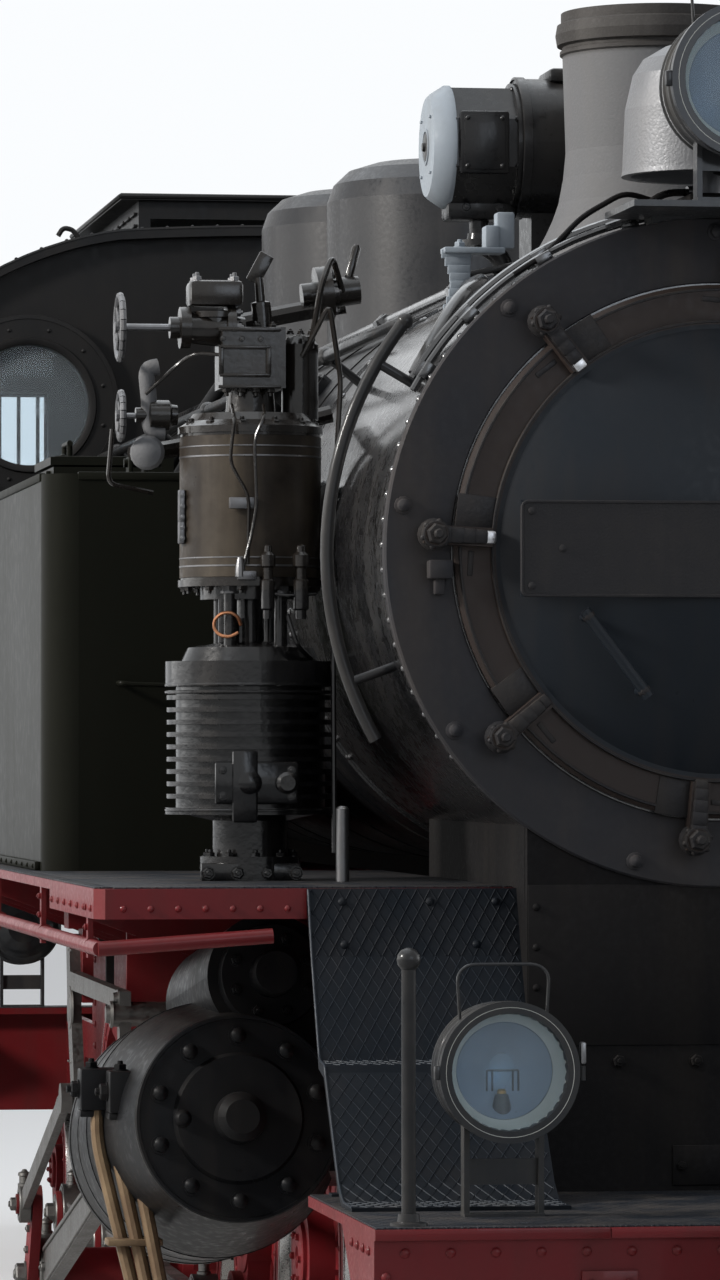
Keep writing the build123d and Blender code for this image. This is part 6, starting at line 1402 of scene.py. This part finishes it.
# Lamps: pressed steel drums in grey-black paint with a beaded rim, a cream-enamelled ring, a silvered
# bowl and a small bulb, held by a wire handle, a toggle latch and bolted legs.
lamp_black = finish("lamp_black", (0.018, 0.019, 0.021), (0.10, 0.09, 0.075), 0.30, coat=0.3, scale=8.0, dust=0.35,
                    grain=90, bump=0.12)
dress(lamp_black, "lamps")
lamp_cream = finish("lamp_cream", (0.46, 0.46, 0.42), (0.30, 0.27, 0.20), 0.30, scale=9.0, dust=0.4, grain=80,
                    bump=0.06)
lamp_silver = finish("lamp_silver", (0.24, 0.29, 0.36), (0.18, 0.21, 0.25), 0.30, metal=0.5, scale=3.0, dust=0.1,
                     grain=80, bump=0.04)
black, cream, silver, tips, brights, panes = (bmesh.new() for _ in range(6))
for x, y, z, r, way in ((5.510, -0.606, 1.162, 0.150, 1), (5.510, 0.606, 1.162, 0.150, 1),
                        (5.100, 0, 3.313, 0.175, 1),
                        (-5.740, -0.606, 1.162, 0.150, -1), (-5.740, 0.606, 1.162, 0.150, -1),
                        (-5.600, 0, 2.895, 0.175, -1)):
    back = (x - way * (r + 0.025), y, z)
    out, deep = (way, 0, 0), r + 0.025
    spun(black, [(deep - 0.026, r * 0.985), (deep - 0.024, r * 0.999), (deep - 0.004, r * 0.999),
                 (deep - 0.0005, r * 0.985),
                 (deep - 0.0005, r * 0.925), (deep - 0.006, r * 0.91)], back, out, 56, False)
    for along in (0.012, 0.28 * r, 0.62 * r):
        spun(black, [(along, r * 0.933), (along + 0.003, r * 0.96), (along + 0.010, r * 0.96),
                     (along + 0.013, r * 0.933)], back, out, 56, False)
    spun(cream, [(deep - 0.004, r * 0.935), (deep + 0.0003, r * 0.915), (deep - 0.002, r * 0.86),
                 (deep - 0.012, r * 0.822),
                 (0.80 * r + 0.003, r * 0.778), (0.652 * r + 0.003, r * 0.690)], back, out, 56, False)
    spun(silver, [(0.652 * r - 0.004, r * 0.705), (0.652 * r + 0.001, r * 0.680), (0.40 * r + 0.004, r * 0.525),
                  (0.30 * r + 0.004, r * 0.36), (0.238 * r, r * 0.20), (0.238 * r, 0.0)], back, out, 56, False)
    # An upright bulb in a dark socket, with a brass cap and a wire frame round it
    bulb, unit = Vector(back) + Vector((way * 0.43 * r, 0, 0)), r / 0.150
    spun(panes, [(-0.044, 0.006), (-0.030, 0.010), (-0.010, 0.022), (0.004, 0.0265), (0.018, 0.0258), (0.030, 0.018),
                 (0.0365, 0.006), (0.0370, 0)], bulb, Z, 20)
    spun(tips, [(-0.060, 0.008), (-0.056, 0.010), (-0.044, 0.010), (-0.040, 0.006), (-0.0395, 0)], bulb, Z, 14)
    spun(black, [(-0.105 * unit, 0.022), (-0.075, 0.020), (-0.052, 0.014), (-0.050, 0.010)], bulb, Z, 18)
    for dy in (-0.034, -0.022, 0.022, 0.034):
        spun(black, [(0, 0.0024), (0.044, 0.0024)], bulb + Vector((way * 0.012, dy, -0.044)), Z, 6)
    spun(black, [(0, 0.0024), (0.068, 0.0024)], bulb + Vector((way * 0.012, -0.034, 0)), Y, 6)
    spun(panes, [(deep - 0.010, 0), (deep - 0.013, r * 0.5), (deep - 0.018, r * 0.82), (deep - 0.020, r * 0.82),
                 (deep - 0.016, r * 0.5), (deep - 0.0125, 0)], back, out, 40)
    handle = x - way * 0.09
    bent_tube(black, [(handle, y - 0.62 * r, z + 0.70 * r), (handle, y - 0.66 * r, z + 1.36 * r),
                      (handle, y - 0.50 * r, z + 1.50 * r),
                      (handle, y + 0.50 * r, z + 1.50 * r), (handle, y + 0.66 * r, z + 1.36 * r),
                      (handle, y + 0.62 * r, z + 0.70 * r)], 0.0036, 0.02, 8)
    slab(brights, (x - way * 0.012 - 0.013, y + 1.005 * r, z + 0.11 * r),
         (x - way * 0.012 + 0.013, y + 1.085 * r, z + 0.42 * r), 0.004)
    slab(black, (x - way * 0.012 - 0.010, y - 1.075 * r, z - 0.10 * r),
         (x - way * 0.012 + 0.010, y - 0.985 * r, z + 0.10 * r), 0.004)
    spun(black, [(0, 0.006), (0.2 * r, 0.006)], (x - way * 0.012, y + 1.045 * r, z - 0.12 * r), Z, 8)
piece("lamp_beads", black, lamp_black)
piece("lamp_rings", cream, lamp_cream)
piece("lamp_bowls", silver, lamp_silver)
piece("lamp_caps", tips, brass)
piece("lamp_latches", brights, worn_steel)
piece("lamp_panes", panes, window_glass)

# Handrails: black steel tube through turned pillars with a flange and a nut, and rods on the buffer
# beams with ball knobs.
rail_black = finish("rail_black", (0.0085, 0.0090, 0.0100), (0.070, 0.062, 0.055), 0.30, coat=0.2, scale=10.0,
                    dust=0.4, grain=100, bump=0.1)
dress(rail_black, "handrails")
bm, bits = bmesh.new(), bmesh.new()
for side in (-1, 1):
    for x in (-1.5, -0.3, 0.9, 2.1, 3.3):
        spun(bm, [(-0.022, 0.0165), (-0.014, 0.022), (0, 0.0245), (0.014, 0.022), (0.022, 0.0165)],
             (x, side * 0.681, 2.813), X, 16)
        spun(bm, [(0, 0.028), (0.007, 0.027), (0.010, 0.016)], (x, side * 0.528, 2.820), (0, side, 0.05), 14)
    for x in (5.65, -5.65):
        spun(bits, [(-0.0245, 0.006), (-0.020, 0.016), (-0.010, 0.0232), (0.0, 0.0252), (0.010, 0.0232),
                    (0.020, 0.016), (0.0245, 0.006), (0.0250, 0)], (x, side * 0.845, 1.405), Z, 24)
        spun(bm, [(0, 0.040), (0.009, 0.039), (0.012, 0.024), (0.028, 0.022)], (x, side * 0.845, 0.850), Z, 18)
piece("rail_knobs", bm, rail_black)
piece("rod_knobs", bits, rail_black)
